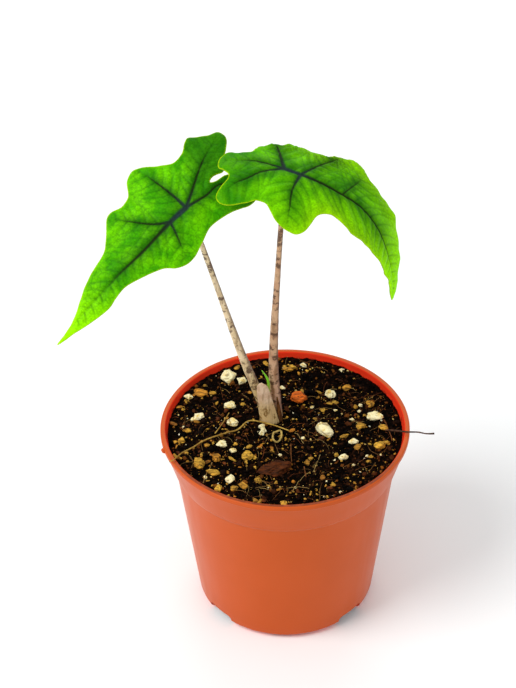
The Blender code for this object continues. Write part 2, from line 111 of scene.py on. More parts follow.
LEFT_BLADE = {
    "joint": (-27.3, -2.0, 145.7),
    "heading": -149.0,
    "pitch": 29.0,
    "pitch_rate": (0.9, 0.25),
    "roll": (30.0, 32.0, 32.0),
    "arch_left": (1.5, 3.0, 1.5),
    "arch_right": (1.0, 0.6, 0.6),
    "outline": [
        # tip, then down the right margin
        (53.0, 0.0), (46.0, -0.6), (39.5, -3.0), (34.0, -5.3), (29.0, -6.5), (24.5, -7.7), (20.7, -11.0),
        # first side lobe
        (18.0, -13.9), (15.5, -14.3), (12.5, -13.2), (9.5, -14.3),
        # second side lobe
        (7.0, -17.9), (4.2, -19.3), (1.4, -18.5), (-2.0, -15.4), (-5.5, -13.0), (-9.0, -13.7),
        # right hind lobe, back to the notch behind the joint
        (-11.6, -16.2), (-13.5, -17.0), (-17.0, -14.7), (-20.2, -14.2), (-21.4, -12.0), (-21.0, -9.9),
        (-19.1, -7.3), (-17.3, -5.5), (-15.9, -3.7), (-15.2, -2.2), (-14.1, -1.7), (-12.9, -2.1),
        (-11.7, -2.3), (-10.5, -2.0), (-9.8, -1.3),
        # left hind lobe
        (-11.0, -0.8), (-12.7, -0.7), (-14.6, -0.6), (-16.4, 0.2), (-18.0, 2.2), (-19.2, 6.4),
        (-18.2, 9.8), (-15.4, 10.5), (-12.5, 9.9), (-8.5, 9.1), (-1.5, 8.8), (3.0, 10.3),
        # left side lobe and margin, back to the tip
        (7.5, 12.0), (11.0, 12.0), (14.0, 10.6), (17.0, 8.0), (23.0, 5.6), (28.0, 4.1), (32.3, 4.3),
        (36.0, 4.7), (42.4, 3.4), (47.7, 1.7),
    ],
    # main veins: points, half width at the start and at the end, and the share of the way where it pales
    "veins": [
        ([(0, 0), (6.1, 0), (17.2, 0.6), (26.9, 0.2), (32.5, 0.3), (51, 0)], 1.00, 0.10, 0.72),
        ([(6.1, 0), (10.5, -3.6), (15.8, -11), (17, -13)], 0.62, 0.10, 0.95),
        ([(6.1, 0), (7, 3.1), (8.6, 7.4), (9.4, 10)], 0.55, 0.10, 0.90),
        ([(0, 0), (0.5, -6.3), (1.9, -15.7), (2.6, -18)], 0.70, 0.12, 0.95),
        ([(0, 0), (-4.5, -2.7), (-12.3, -8.2), (-18.7, -11.7)], 0.74, 0.12, 0.90),
        ([(0, 0), (-6.2, 1), (-12.4, 1.2), (-16.4, 9.2)], 0.70, 0.12, 0.95),
    ],
    "ruffle": 0.0,
    # sun: how strong the painted sunlight glow is on this blade's colour
    "sun": 0.0,
}

RIGHT_BLADE = {
    "joint": (0.3, 0.0, 156.6),
    "heading": -2.0,
    "pitch": 12.0,
    "pitch_rate": (1.0, 1.4),
    "roll": (-6.0, -9.0, -32.0),
    "arch_left": (2.0, 0.7, 0.6),
    "arch_right": (2.6, 1.8, 0.6),
    "outline": [
        # tip, then down the right margin
        (59.2, -2.2), (55.4, -3.9), (51.0, -4.8), (45.3, -6.6), (40.0, -7.8), (36.2, -8.8), (31.0, -9.5),
        (25.3, -11.0), (20.0, -10.7), (17.0, -10.3),
        # right side lobe
        (13.8, -11.3), (11.9, -13.1), (10.8, -16.0), (9.4, -18.7), (6.8, -20.2), (2.6, -19.6),
        (-0.7, -17.8), (-2.8, -15.3), (-4.7, -13.2), (-7.3, -12.6),
        # right hind lobe, back to the notch behind the joint
        (-10.1, -13.4), (-15.2, -13.9), (-17.8, -13.3), (-19.1, -11.8), (-18.9, -10.0), (-17.1, -7.4),
        (-15.6, -5.2), (-15.6, -3.6),
        # left hind lobe
        (-17.0, -2.0), (-18.4, -0.8), (-18.2, 3.0), (-16.0, 6.4), (-12.4, 6.6), (-9.2, 6.9),
        # left side lobes, with a nick between the first and the second
        (-8.0, 8.6), (-5.7, 11.4), (-2.6, 13.5), (-0.6, 12.8), (1.4, 14.8), (4.2, 14.2), (8.0, 12.4),
        (12.2, 12.6), (16.7, 15.6), (20.8, 17.4), (24.2, 16.4), (26.6, 13.6),
        # left margin, back to the tip
        (31.4, 11.8), (35.6, 10.9), (39.6, 9.0), (42.9, 6.7), (46.8, 4.2), (50.2, 2.2), (54.0, 0.5),
        (58.0, -0.8),
    ],
    "veins": [
        ([(0, 0), (4.9, -0.8), (11.3, -1.2), (17.3, -1.3), (25.2, -0.4), (33.2, -0.9), (43.9, -2.4),
          (57, -2.4)], 0.95, 0.12, 0.92),
        ([(0, 0), (-6.1, -2.5), (-9.8, -5.2), (-13.5, -7.2), (-16.4, -9.4)], 0.68, 0.12, 0.95),
        ([(0, 0), (-8.2, 1.9), (-13, 1.9), (-16.8, 2)], 0.62, 0.12, 0.85),
        ([(0, 0), (-1.2, 6.4), (-2.1, 12.1)], 0.85, 0.30, 1.3),
        ([(4.9, -0.8), (2.9, -7.6), (3, -14), (3.4, -18.2)], 0.66, 0.10, 0.92),
        ([(4.9, -0.8), (12.2, 9), (16.7, 15.0)], 0.58, 0.14, 1.1),
        ([(18.2, -1.2), (22.8, 8.2), (24.5, 13.0)], 0.34, 0.08, 0.9),
    ],
    "ruffle": 1.0,
    # sun: how strong the painted sunlight glow is on this blade's colour
    "sun": 1.0,
}

# Leaf stalks, from the crown up: x, y, z and the radius there. Shoot and roots are given the same way.
LEFT_STALK = [
    (-5.7, 8.0, 60.5, 1.95), (-6.7, 8.0, 66.6, 1.72), (-9.0, 7.2, 74.4, 1.46), (-13.1, 6.0, 88.5, 1.25),
    (-18.3, 3.5, 109.8, 0.92), (-23.7, 0.5, 132.2, 0.78), (-26.6, -1.4, 142.2, 0.80),
]
RIGHT_STALK = [
    (-2.5, 7.9, 60.5, 2.10), (-2.7, 8.3, 66.6, 1.85), (-3.2, 8.2, 79.9, 1.50), (-2.9, 6.9, 95.0, 1.26),
    (-1.9, 4.8, 115.0, 0.90), (-0.5, 2.4, 139.0, 0.76), (0.2, 0.5, 153.0, 0.80),
]
STALK_FLARE = 1.15  # radius where the stalk enters the blade's joint

SHOOT = [(-4.8, 6.1, 64.5, 0.50), (-4.8, 6.1, 73.7, 0.44), (-5.1, 6.0, 77.8, 0.40), (-6.8, 5.5, 81.7, 0.12)]

# Roots on the soil
ROOT_LEVEL = 63.0
ROOT_SIDES = 14
OVER_RIM = 65.75
LONG_ROOT = [
    (1.2, -0.9, ROOT_LEVEL, 0.30), (-4.4, 2.3, ROOT_LEVEL, 0.34), (-10.8, 4.2, ROOT_LEVEL, 0.36),
    (-14.6, 0.0, ROOT_LEVEL, 0.38), (-18.4, -1.6, ROOT_LEVEL, 0.38), (-24.7, -4.8, ROOT_LEVEL, 0.36),
    (-28.3, -8.6, 63.4, 0.34), (-31.5, -13.4, 65.3, 0.30), (-33.8, -17.0, OVER_RIM, 0.26),
    (-35.2, -17.8, OVER_RIM, 0.22),
]
FORK_ROOT = [
    (-17.3, 8.3, ROOT_LEVEL, 0.26), (-19.4, 3.0, ROOT_LEVEL, 0.28), (-21.6, -1.6, ROOT_LEVEL, 0.30),
]
RIM_ROOT = [
    (31.0, -1.5, ROOT_LEVEL, 0.30), (34.0, -4.6, 65.2, 0.32), (37.5, -5.9, OVER_RIM, 0.30),
    (40.6, -6.1, OVER_RIM, 0.26), (43.0, -6.9, OVER_RIM, 0.24), (45.5, -6.9, OVER_RIM, 0.34),
]

# Grains that have a CAD node: x, y, width, depth, and a turn in degrees where there is one
PERLITE = [
    (-17.6, 27.3, 4.6, 5.2), (-13.2, 25.2, 2.8, 2.8), (-30.0, 17.0, 2.8, 2.8), (-17.5, 12.4, 3.4, 3.1),
    (-26.7, 7.1, 3.7, 2.5), (-16.3, 3.9, 3.4, 2.8), (-19.6, -6.4, 2.6, 2.5), (-16.1, -9.4, 1.9, 1.9),
    (-17.0, -22.5, 2.2, 3.4), (14.6, 17.6, 3.1, 3.7), (12.3, -0.5, 4.4, 7.0, 32.0), (28.0, 5.4, 4.6, 3.1),
    (17.5, -13.3, 2.8, 2.2), (21.3, -6.1, 2.8, 1.9), (-7.0, 0.4, 2.0, 4.4), (18.8, 29.3, 2.5, 1.9),
]
BARK = [
    (-26.9, 18.9, 4.3, 3.0), (5.0, 15.7, 4.6, 4.0), (-11.7, -12.1, 2.8, 3.1), (-26.6, -15.4, 3.1, 3.4),
    (-21.1, -12.9, 2.5, 2.5), (-21.9, -19.4, 3.7, 2.2), (-3.4, -18.8, 8.8, 4.3, 20.0), (29.0, -8.3, 3.4, 2.2),
]
# Smaller grains: x, y, width, depth
FINE_PERLITE = [
    (-0.3, 21.4, 1.9, 2.2), (6.7, 32.2, 2.2, 1.5), (21.2, 5.1, 1.5, 1.5), (8.8, 11.9, 1.2, 1.2),
    (-24.5, -21.0, 1.3, 1.2), (5.4, -3.6, 1.2, 1.1), (-1.8, -11.3, 1.0, 1.0), (16.2, 9.8, 1.2, 1.0),
    (24.0, 11.9, 1.6, 1.3), (23.5, 9.0, 1.5, 1.2), (20.4, -16.5, 1.0, 1.0), (12.0, -24.2, 0.9, 0.9),
    (24.6, -12.5, 1.2, 1.2), (-31.4, 2.4, 1.5, 1.2), (-28.8, 6.2, 1.5, 1.3), (2.5, -26.0, 0.8, 0.8),
    (14.7, -14.5, 0.9, 0.9), (28.8, -12.1, 0.9, 0.8), (-9.6, -34.0, 0.9, 0.8), (15.8, -28.2, 0.8, 0.8),
]
FINE_BARK = [
    (-20.2, -26.3, 2.8, 1.9), (-13.1, -25.3, 2.8, 1.9), (-8.4, -22.5, 1.9, 2.8), (-1.2, -33.5, 1.9, 1.9),
    (-9.6, -31.7, 1.9, 1.5), (-31.9, -3.6, 2.2, 1.9), (27.1, 12.2, 2.5, 2.2), (23.6, 0.9, 2.2, 2.8),
    (18.4, -2.8, 3.7, 1.2), (6.5, -15.0, 2.5, 1.5), (3.3, 31.2, 2.5, 1.5), (-24.2, -6.0, 2.4, 1.4),
    (-15.6, -26.4, 1.9, 2.4), (-30.4, 0.8, 2.2, 1.6), (-4.2, -9.4, 1.6, 1.2), (-9.6, -12.0, 1.4, 1.4),
    (1.8, 30.2, 3.2, 1.6), (-15.0, 31.0, 2.6, 1.4), (-5.5, 33.6, 2.2, 1.2), (22.0, -9.0, 2.0, 2.2),
    (15.5, -12.2, 1.6, 1.3), (20.2, 20.6, 2.0, 2.4), (14.4, 13.0, 1.9, 1.3), (30.6, 0.4, 2.0, 2.4),
]
GRAIN_HEIGHT = 0.75
GRAIN_SINK = 0.35
GRAIN_SWELL = 1.08
FACET_EDGE = 22.0  # how sharp the edges between a grain's facets are

# Loose crumbs, grit and threads
FINE_CRUMBS = 5600
CHIPS = 700
GRIT_GRAINS = 120
FIBRES = 170
FIBRE_STEPS = 12
BARK_SHADES = {1: 0.68, 2: 1.0, 3: 0.5, 5: 0.66, 7: 0.13}
SPLINTERY = (7,)  # bark chips with torn fibres along them
# A grain that is a string of lumps: each one's place across and along it, and how long each is
CLUSTERS = {("perlite", 15): [(0.0, 0.30), (0.12, 0.0), (-0.05, -0.30)]}
CLUSTER_LUMP = 0.42

# Threads that stand out on the soil: their points, half thickness and shade
THREADS = [
    ([(1.7, -7.3), (1.6, -11.0), (1.7, -14.8)], 0.16, 0.75),
    ([(5.4, -17.2), (5.6, -19.5), (5.8, -22.2)], 0.17, 0.75),
    ([(10.4, -12.2), (9.3, -15.9), (8.0, -20.0)], 0.11, 0.35),
    ([(31.0, 4.0), (31.9, 0.1), (32.6, -3.3), (32.8, -5.7)], 0.17, 0.80),
    ([(-22.4, -15.0), (-23.9, -19.6), (-25.0, -23.7)], 0.13, 0.45),
    ([(7.1, -19.5), (4.0, -23.1), (1.5, -28.4)], 0.09, 0.35),
    ([(0.5, -26.4), (3.2, -26.5), (6.6, -27.5)], 0.09, 0.40),
    ([(-7.3, -22.9), (-5.5, -26.2), (-3.8, -29.9)], 0.10, 0.45),
    ([(3.6, -1.6), (4.6, -3.6), (5.6, -6.4)], 0.10, 0.30),
    ([(-3.5, -0.9), (-1.4, -0.2), (-1.2, -3.2), (-2.6, -5.3), (-3.8, -3.6), (-3.5, -0.9)], 0.30, 0.15),
]


# ---------------- numbers and curves

def smoothstep(low, high, value):
    """0 up to low, 1 from high on, and an even slope between; low may be the larger."""
    share = np.clip((value - low) / (high - low), 0.0, 1.0)
    return share * share * (3.0 - 2.0 * share)


def catmull_rom(points, spacing, closed=False):
    """Points about spacing apart on a smooth curve through the given tuples of numbers."""
    count = len(points)
    smooth = []
    for index in range(count if closed else count - 1):
        if closed:
            before, start, end, after = (points[(index + shift) % count] for shift in (-1, 0, 1, 2))
        else:
            before = points[max(index - 1, 0)]
            start, end = points[index], points[index + 1]
            after = points[min(index + 2, count - 1)]
        steps = max(1, round(math.dist(start[:3], end[:3]) / spacing))
        for step in range(steps):
            t = step / steps
            smooth.append(tuple(
                0.5 * (2 * b + (c - a) * t + (2 * a - 5 * b + 4 * c - d) * t * t
                       + (3 * b - a - 3 * c + d) * t ** 3)
                for a, b, c, d in zip(before, start, end, after)
            ))
    if not closed:
        smooth.append(tuple(points[-1]))
    return smooth


def path_distance(points, path):
    """Distance of each flat point from a polyline, and how far along it the nearest place is, 0 to 1."""
    path = np.asarray(path, float)
    steps = np.linalg.norm(np.diff(path, axis=0), axis=1)
    total = steps.sum()
    best = np.full(len(points), np.inf)
    share = np.zeros(len(points))
    run = 0.0
    for start, edge, length in zip(path, np.diff(path, axis=0), steps):
        if length == 0.0:
            continue
        t = np.clip(((points - start) @ edge) / length ** 2, 0.0, 1.0)
        gap = np.linalg.norm(points - start - t[:, None] * edge, axis=1)
        closer = gap < best
        best[closer] = gap[closer]
        share[closer] = ((run + t * length) / total)[closer]
        run += length
    return best, share


class Border:
    """A line of many short edges, and quick answers about single points near it."""

    def __init__(self, path):
        path = np.asarray(path, float)
        self.start, self.end = path[:-1], path[1:]
        self.edge = self.end - self.start
        self.square = np.maximum((self.edge ** 2).sum(1), 1e-12)

    def gap(self, spot):
        away = spot - self.start
        t = np.clip((away * self.edge).sum(1) / self.square, 0.0, 1.0)
        return math.sqrt((((away - t[:, None] * self.edge) ** 2).sum(1)).min())

    def encloses(self, spot):
        low, high = self.start[:, 1], self.end[:, 1]
        spans = (low > spot[1]) != (high > spot[1])
        at = self.start[spans, 0] + (spot[1] - low[spans]) / self.edge[spans, 1] * self.edge[spans, 0]
        return bool((spot[0] < at).sum() % 2)


def wave(x, y, z):
    """Smooth noise, from about -1 to 1."""
    return noise.noise(Vector((x, y, z)))


def net_border(points, spacing, seed):
    """How far each flat point is from the border between two cells of an irregular net, 0 on the border."""
    rng = np.random.default_rng(seed)
    low = points.min(0) - 3 * spacing
    shape = np.ceil((points.max(0) - low) / spacing).astype(int) + 4
    centres = np.stack(np.meshgrid(*(np.arange(n) for n in shape), indexing="ij"), -1) + 0.5
    centres = low + (centres + rng.uniform(-0.42, 0.42, centres.shape)) * spacing
    home = ((points - low) / spacing).astype(int)
    around = [(i, j) for i in range(-2, 3) for j in range(-2, 3)]
    gaps = np.stack([
        np.linalg.norm(points - centres[home[:, 0] + i, home[:, 1] + j], axis=1) for i, j in around
    ])
    nearest = np.partition(gaps, 1, axis=0)[:2]
    return nearest[1] - nearest[0]


# ---------------- meshes

def point_normals(points, faces):
    """The unit normal at each point, from the faces around it."""
    corners = points[faces[:, :3]]
    across = np.cross(corners[:, 1] - corners[:, 0], corners[:, 2] - corners[:, 0])
    normals = np.zeros_like(points)
    for corner in range(3):
        np.add.at(normals, faces[:, corner], across)
    return normals / np.maximum(np.linalg.norm(normals, axis=1, keepdims=True), 1e-12)


def new_object(name, points, faces):
    """A linked object with a mesh of these points and faces."""
    mesh = bpy.data.meshes.new(name)
    mesh.from_pydata([tuple(point) for point in np.asarray(points, float) * MM], [], [list(f) for f in faces])
    obj = bpy.data.objects.new(name, mesh)
    bpy.context.scene.collection.objects.link(obj)
    return obj


def paint(mesh, masks):
    """Numbers on the mesh's points for its material to read."""
    for mask, values in masks.items():
        mesh.attributes.new(mask, "FLOAT", "POINT").data.foreach_set("value", np.asarray(values, np.float32))


def piece(name, points, faces, finish, replaced=(), masks=None):
    """A smooth piece on the root body, with the CAD nodes that it replaces."""
    obj = new_object(name, points, faces)
    obj.data.validate()
    obj.data.shade_smooth()
    obj.data.materials.append(finish)
    paint(obj.data, masks or {})
    return placed(obj, replaced)


def placed(obj, replaced=()):
    """The object as a piece: its body and what it replaces."""
    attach(obj, "root")
    if replaced:
        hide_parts(*replaced)
    return obj


class Bunch:
    """Points and faces of many small bodies that end as one piece."""

    def __init__(self):
        self.points, self.faces, self.masks, self.count = [], [], {}, 0

    def add(self, points, faces, **masks):
        self.points.append(np.asarray(points, float))
        self.faces += [tuple(index + self.count for index in face) for face in faces]
        for mask, value in masks.items():
            self.masks.setdefault(mask, []).append(np.broadcast_to(value, len(points)))
        self.count += len(points)

    def make(self, name, finish, replaced=()):
        masks = {mask: np.concatenate(values) for mask, values in self.masks.items()}
        return piece(name, np.concatenate(self.points), self.faces, finish, replaced, masks)


def ball(subdivisions):
    """Points and faces of a unit icosphere."""
    bm = bmesh.new()
    bmesh.ops.create_icosphere(bm, subdivisions=subdivisions, radius=1.0)
    points = np.array([tuple(vert.co) for vert in bm.verts])
    faces = [tuple(vert.index for vert in face.verts) for face in bm.faces]
    bm.free()
    return points, faces


def thickened(faces, total):
    """The faces of a sheet, of its other side total points further on, and of the rim between."""
    edges = {(a, b) for face in faces for a, b in zip(face, np.roll(face, -1))}
    rim = [(b, a, a + total, b + total) for a, b in edges if (b, a) not in edges]
    return [tuple(face) for face in faces] + [tuple(face[::-1] + total) for face in faces] + rim


def circle(radius, height, count):
    """Points round the pot's axis."""
    angles = [2 * math.pi * step / count for step in range(count)]
    return [(radius * math.cos(angle), radius * math.sin(angle), height) for angle in angles]


def ring_faces(rings, sides, start=0):
    """Faces between closed rings of points that follow each other."""
    pairs = [(a, (a + 1) % sides) for a in range(sides)]
    lows = [start + ring * sides for ring in range(rings - 1)]
    return [(low + a, low + b, low + b + sides, low + a + sides) for low in lows for a, b in pairs]


def sweep(stations, sides, wobble=0.0, seed=0.0):
    """A closed round body along (x, y, z, radius) stations, with an uneven skin.

    Returns points, faces and each point's share of the way along."""
    centres = np.array([station[:3] for station in stations])
    tangents = np.gradient(centres, axis=0)
    tangents /= np.linalg.norm(tangents, axis=1, keepdims=True)
    side = np.cross(tangents[0], (0.31, 0.93, 0.17))
    points = []
    for index, (centre, tangent) in enumerate(zip(centres, tangents)):
        side = side - tangent * (side @ tangent)
        side /= np.linalg.norm(side)
        up = np.cross(tangent, side)
        for number in range(sides):
            angle = 2 * math.pi * number / sides
            radius = stations[index][3]
            if wobble:
                bulge = wave(2.2 * math.cos(angle) + seed, 2.2 * math.sin(angle), index * 0.35)
                radius *= 1.0 + wobble * bulge
            points.append(centre + side * radius * math.cos(angle) + up * radius * math.sin(angle))
    rings = len(stations)
    faces = ring_faces(rings, sides)
    points += [centres[0], centres[-1]]
    last = (rings - 1) * sides
    for number in range(sides):
        after = (number + 1) % sides
        faces.append((after, number, rings * sides))
        faces.append((last + number, last + after, rings * sides + 1))
    along = np.concatenate([np.repeat(np.linspace(0, 1, rings), sides), [0.0, 1.0]])
    return np.array(points), faces, along


# ---------------- materials

class Finish:
    """A node material built round one Principled shader."""

    def __init__(self, name, **constants):
        self.material = bpy.data.materials.new(name)
        self.material.use_nodes = True
        self.tree = self.material.node_tree
        self.shader = self.tree.nodes["Principled BSDF"]
        for socket, value in constants.items():
            self.shader.inputs[socket.replace("_", " ")].default_value = value

    def node(self, kind, inputs=None, **settings):
        made = self.tree.nodes.new("ShaderNode" + kind)
        for setting, value in settings.items():
            setattr(made, setting, value)
        for socket, value in (inputs or {}).items():
            self.feed(made.inputs[socket], value)
        return made

    def feed(self, socket, value):
        if isinstance(value, bpy.types.NodeSocket):
            self.tree.links.new(value, socket)
        elif isinstance(value, tuple) and len(value) == 3 and socket.type == "RGBA":
            socket.default_value = (*value, 1.0)
        else:
            socket.default_value = value

    def noise(self, size, scale=(1.0, 1.0, 1.0), detail=3.0, rough=0.5):
        """Noise from 0 to 1 with features about size millimetres across, shorter where scale is above 1."""
        where = self.node("TexCoord").outputs["Object"]
        place = self.node("Mapping", {"Vector": where, "Scale": tuple(1 / MM * s for s in scale)})
        place = place.outputs["Vector"]
        inputs = {"Vector": place, "Scale": 1.0 / size, "Detail": detail, "Roughness": rough}
        return self.node("TexNoise", inputs).outputs["Fac"]

    def mask(self, name):
        return self.node("Attribute", attribute_name=name).outputs["Fac"]

    def span(self, value, low, high, to_low=0.0, to_high=1.0):
        inputs = {"Value": value, "From Min": low, "From Max": high, "To Min": to_low, "To Max": to_high}
        return self.node("MapRange", inputs, interpolation_type="SMOOTHSTEP").outputs["Result"]

    def times(self, first, second):
        return self.node("Math", {0: first, 1: second}, operation="MULTIPLY").outputs[0]

    def mix(self, first, second, share, blend="MIX"):
        made = self.node("Mix", {0: share, 6: first, 7: second}, data_type="RGBA", blend_type=blend)
        return made.outputs[2]

    def over(self, colour, *layers):
        """The colour under layers: each a colour, the mask or number that shows it, and a factor if any."""
        for layer, share, *factors in layers:
            share = self.mask(share) if isinstance(share, str) else share
            for factor in factors:
                share = self.times(share, factor)
            colour = self.mix(colour, layer, share)
        return colour

    def toned(self, colour, value, low, high, dark, light):
        """The colour times dark to light as the value goes from low to high."""
        return self.mix(colour, self.span(value, low, high, dark, light), 1.0, blend="MULTIPLY")

    def ramp(self, value, stops):
        made = self.node("ValToRGB", {"Fac": value})
        band = made.color_ramp
        while len(band.elements) < len(stops):
            band.elements.new(0.5)
        for element, (position, colour) in zip(band.elements, stops):
            element.position = position
            element.color = (*colour, 1.0)
        return made.outputs["Color"]

    def done(self, colour, roughness=None, height=None, distance=0.1, strength=1.0):
        """Connects colour, roughness and a bump whose height of 1 stands distance millimetres proud."""
        self.feed(self.shader.inputs["Base Color"], colour)
        if roughness is not None:
            self.feed(self.shader.inputs["Roughness"], roughness)
        if height is not None:
            bump = self.node("Bump", {"Height": height, "Distance": distance * MM, "Strength": strength})
            self.feed(self.shader.inputs["Normal"], bump.outputs["Normal"])
        return self.material


def leaf_finish(name):
    """Quilted green: dark veins, brighter cells and a tip that pales to yellow-green, with a lime margin
    painted as a glow lit through from behind, painted sunlight near the edges, painted shade on the hind
    lobes and a painted bluish sheen at the joint.
    """
    made = Finish(name, Roughness=0.48, Specular_IOR_Level=0.03)
    patches = made.noise(5.5, detail=2.0)
    blotches = made.noise(2.6, detail=3.0)
    grain = made.noise(0.55, detail=4.0)
    cell = made.mix((0.046, 0.340, 0.0), (0.130, 0.560, 0.0), made.span(patches, 0.36, 0.64))
    cell = made.over(
        cell,
        ((0.180, 0.660, 0.0), "dome", made.span(blotches, 0.30, 0.62)),
        # painted sunlight: a brighter lime glow near the edges of the sunlit blade
        ((0.330, 0.720, 0.0), "sun"),
        # painted shade: darker green on the hind lobes and the ruffled far margin
        ((0.012, 0.130, 0.001), "shade", 0.80),
        ((0.012, 0.105, 0.001), "halo", made.span(blotches, 0.2, 0.75, 0.95, 0.60)),
        ((0.350, 0.960, 0.0), "tip"),
        ((0.012, 0.120, 0.001), "net", 0.38),
        ((0.008, 0.070, 0.002), "side_vein", 0.55),
        ((0.008, 0.014, 0.003), "vein", 0.95),
        # painted sheen: a bluish-grey reflection on the veins at the joint
        ((0.018, 0.036, 0.044), "joint", 0.80),
        # painted glow: a thin lime line along the margin, as if lit through from behind
        ((0.420, 0.620, 0.002), "margin"),
    )
    cell = made.toned(cell, grain, 0.2, 0.8, 0.78, 1.20)
    under = made.mix((0.100, 0.280, 0.030), (0.140, 0.340, 0.045), patches)
    under = made.over(under, ((0.105, 0.140, 0.045), "vein"))
    cell = made.over(cell, (under, "under"))
    return made.done(cell, made.span(grain, 0.3, 0.7, 0.40, 0.60), grain, distance=0.05, strength=0.6)


def stalk_finish(name, tan, blush, foot_light, foot_dark):
    """Pale stalk skin: painted shade down its right side, short broken bands across it and another tone at
    the foot.
    """
    made = Finish(name, Roughness=0.48, Specular_IOR_Level=0.25)
    patches = made.noise(3.0, detail=2.0)
    bands = made.noise(2.4, scale=(0.7, 0.7, 1.0), detail=5.0, rough=0.66)
    flecks = made.noise(0.6, scale=(1.0, 1.0, 0.45), detail=3.0)
    streaks = made.noise(1.3, scale=(1.0, 1.0, 0.22), detail=3.0)
    colour = made.over(
        tan,
        (blush, made.span(patches, 0.35, 0.65)),
        (made.mix(foot_light, foot_dark, made.span(streaks, 0.46, 0.64)), "foot", 0.75),
        ((0.240, 0.130, 0.050), made.span(streaks, 0.50, 0.74), 0.60),
        ((0.085, 0.038, 0.020), made.span(bands, 0.51, 0.60), 0.85),
        ((0.130, 0.060, 0.026), made.span(flecks, 0.57, 0.70), 0.55),
        # painted shade on the side that faces right, away from the key light
        ((0.130, 0.052, 0.040), "shaded_side", 0.70),
    )
    return made.done(colour, made.span(flecks, 0.3, 0.7, 0.42, 0.60), bands, distance=0.06, strength=0.5)


def pot_finish():
    """Terracotta plastic, painted brighter and redder inside for light bounced within the pot and shining
    through its wall, with a darker lip at the front and dirt along the soil.
    """
    made = Finish("terracotta_plastic", Roughness=0.30, Specular_IOR_Level=0.10)
    drift = made.noise(18.0, detail=2.0)
    streaks = made.noise(3.5, scale=(1.0, 1.0, 0.08), detail=2.0)
    dust = made.noise(0.5, detail=2.0)
    smears = made.noise(2.6, detail=4.0, rough=0.6)
    colour = made.over(
        made.mix((0.546, 0.088, 0.014), (0.570, 0.093, 0.016), made.span(drift, 0.3, 0.7)),
        ((0.54, 0.105, 0.028), made.span(streaks, 0.48, 0.78), 0.12),
        ((0.16, 0.022, 0.006), made.span(dust, 0.76, 0.80), 0.5),
        # painted light: the inner wall coloured brighter and redder, for light bounced inside the pot and
        # shining through the plastic
        ((0.900, 0.042, 0.012), "inner"),
        ((0.200, 0.036, 0.007), "lip", made.span(smears, 0.3, 0.6, 0.55, 0.95)),
        ((0.090, 0.014, 0.005), "dirt", made.span(smears, 0.46, 0.66), 0.7),
    )
    roughness = made.span(streaks, 0.3, 0.7, 0.28, 0.36)
    return made.done(colour, roughness, made.noise(0.9, detail=3.0), distance=0.03, strength=0.25)


def soil_finish():
    """Near-black soil with red-brown clods."""
    made = Finish("potting_soil", Roughness=0.9, Specular_IOR_Level=0.02)
    clods = made.noise(1.9, detail=5.0, rough=0.65)
    grain = made.noise(0.35, detail=3.0)
    colour = made.ramp(clods, [
        (0.36, (0.0010, 0.0006, 0.0004)), (0.54, (0.0034, 0.0014, 0.0007)),
        (0.66, (0.022, 0.007, 0.003)), (0.80, (0.075, 0.024, 0.006)),
    ])
    colour = made.toned(colour, grain, 0.2, 0.8, 0.55, 1.45)
    return made.done(colour, made.span(grain, 0.3, 0.7, 0.75, 0.98), grain, distance=0.25, strength=0.8)


def crumb_finish():
    """Each crumb's shade is a number from 0 to 1: mostly near black, then red-brown, ochre and cream."""
    made = Finish("soil_crumbs", Roughness=0.8, Specular_IOR_Level=0.03)
    colour = made.ramp(made.mask("shade"), [
        (0.00, (0.0008, 0.0005, 0.0004)), (0.45, (0.0030, 0.0014, 0.0008)), (0.60, (0.016, 0.006, 0.003)),
        (0.76, (0.085, 0.024, 0.006)), (0.86, (0.230, 0.080, 0.010)), (0.93, (0.520, 0.290, 0.040)),
        (0.98, (0.640, 0.470, 0.150)), (1.00, (0.900, 0.860, 0.640)),
    ])
    colour = made.toned(colour, made.noise(0.4, detail=3.0), 0.2, 0.8, 0.60, 1.3)
    return made.done(colour, made.span(made.noise(0.7), 0.3, 0.7, 0.6, 0.9), made.noise(0.3), 0.12, 0.7)


def perlite_finish():
    """Cream grains with ochre stains, painted highlights on their raised spots and painted shade in their
    pits.
    """
    made = Finish("perlite", Roughness=0.78, Specular_IOR_Level=0.12)
    stain = made.noise(1.5, detail=3.0)
    pits = made.noise(0.35, detail=3.0)
    colour = made.over(
        (0.900, 0.810, 0.470),
        ((0.760, 0.530, 0.130), made.span(stain, 0.46, 0.68)),
        # painted highlight: brighter cream where the fine bumps stand highest
        ((1.0, 0.94, 0.66), made.span(pits, 0.54, 0.72)),
        # painted shade: the grain darkened in the dents of its surface
        ((0.20, 0.11, 0.035), "pit", 0.70),
    )
    return made.done(colour, made.span(pits, 0.3, 0.7, 0.68, 0.9), pits, distance=0.12, strength=0.8)


def bark_finish():
    """Each grain's shade runs from dark bark (0) over ochre grit (0.5) to orange clay (1)."""
    made = Finish("bark_and_grit", Roughness=0.76, Specular_IOR_Level=0.12)
    grain = made.noise(0.9, scale=(0.30, 1.5, 1.5), detail=5.0)
    colour = made.ramp(made.mask("shade"), [
        (0.0, (0.016, 0.004, 0.002)), (0.25, (0.140, 0.034, 0.005)), (0.5, (0.560, 0.310, 0.036)),
        (0.75, (0.420, 0.150, 0.014)), (1.0, (0.640, 0.125, 0.010)),
    ])
    colour = made.toned(colour, grain, 0.30, 0.70, 0.35, 1.55)
    # painted shade: near black in the dents of each grain
    colour = made.over(colour, ((0.030, 0.014, 0.006), "pit", 0.8))
    return made.done(colour, made.span(grain, 0.3, 0.7, 0.6, 0.85), grain, distance=0.20, strength=0.9)


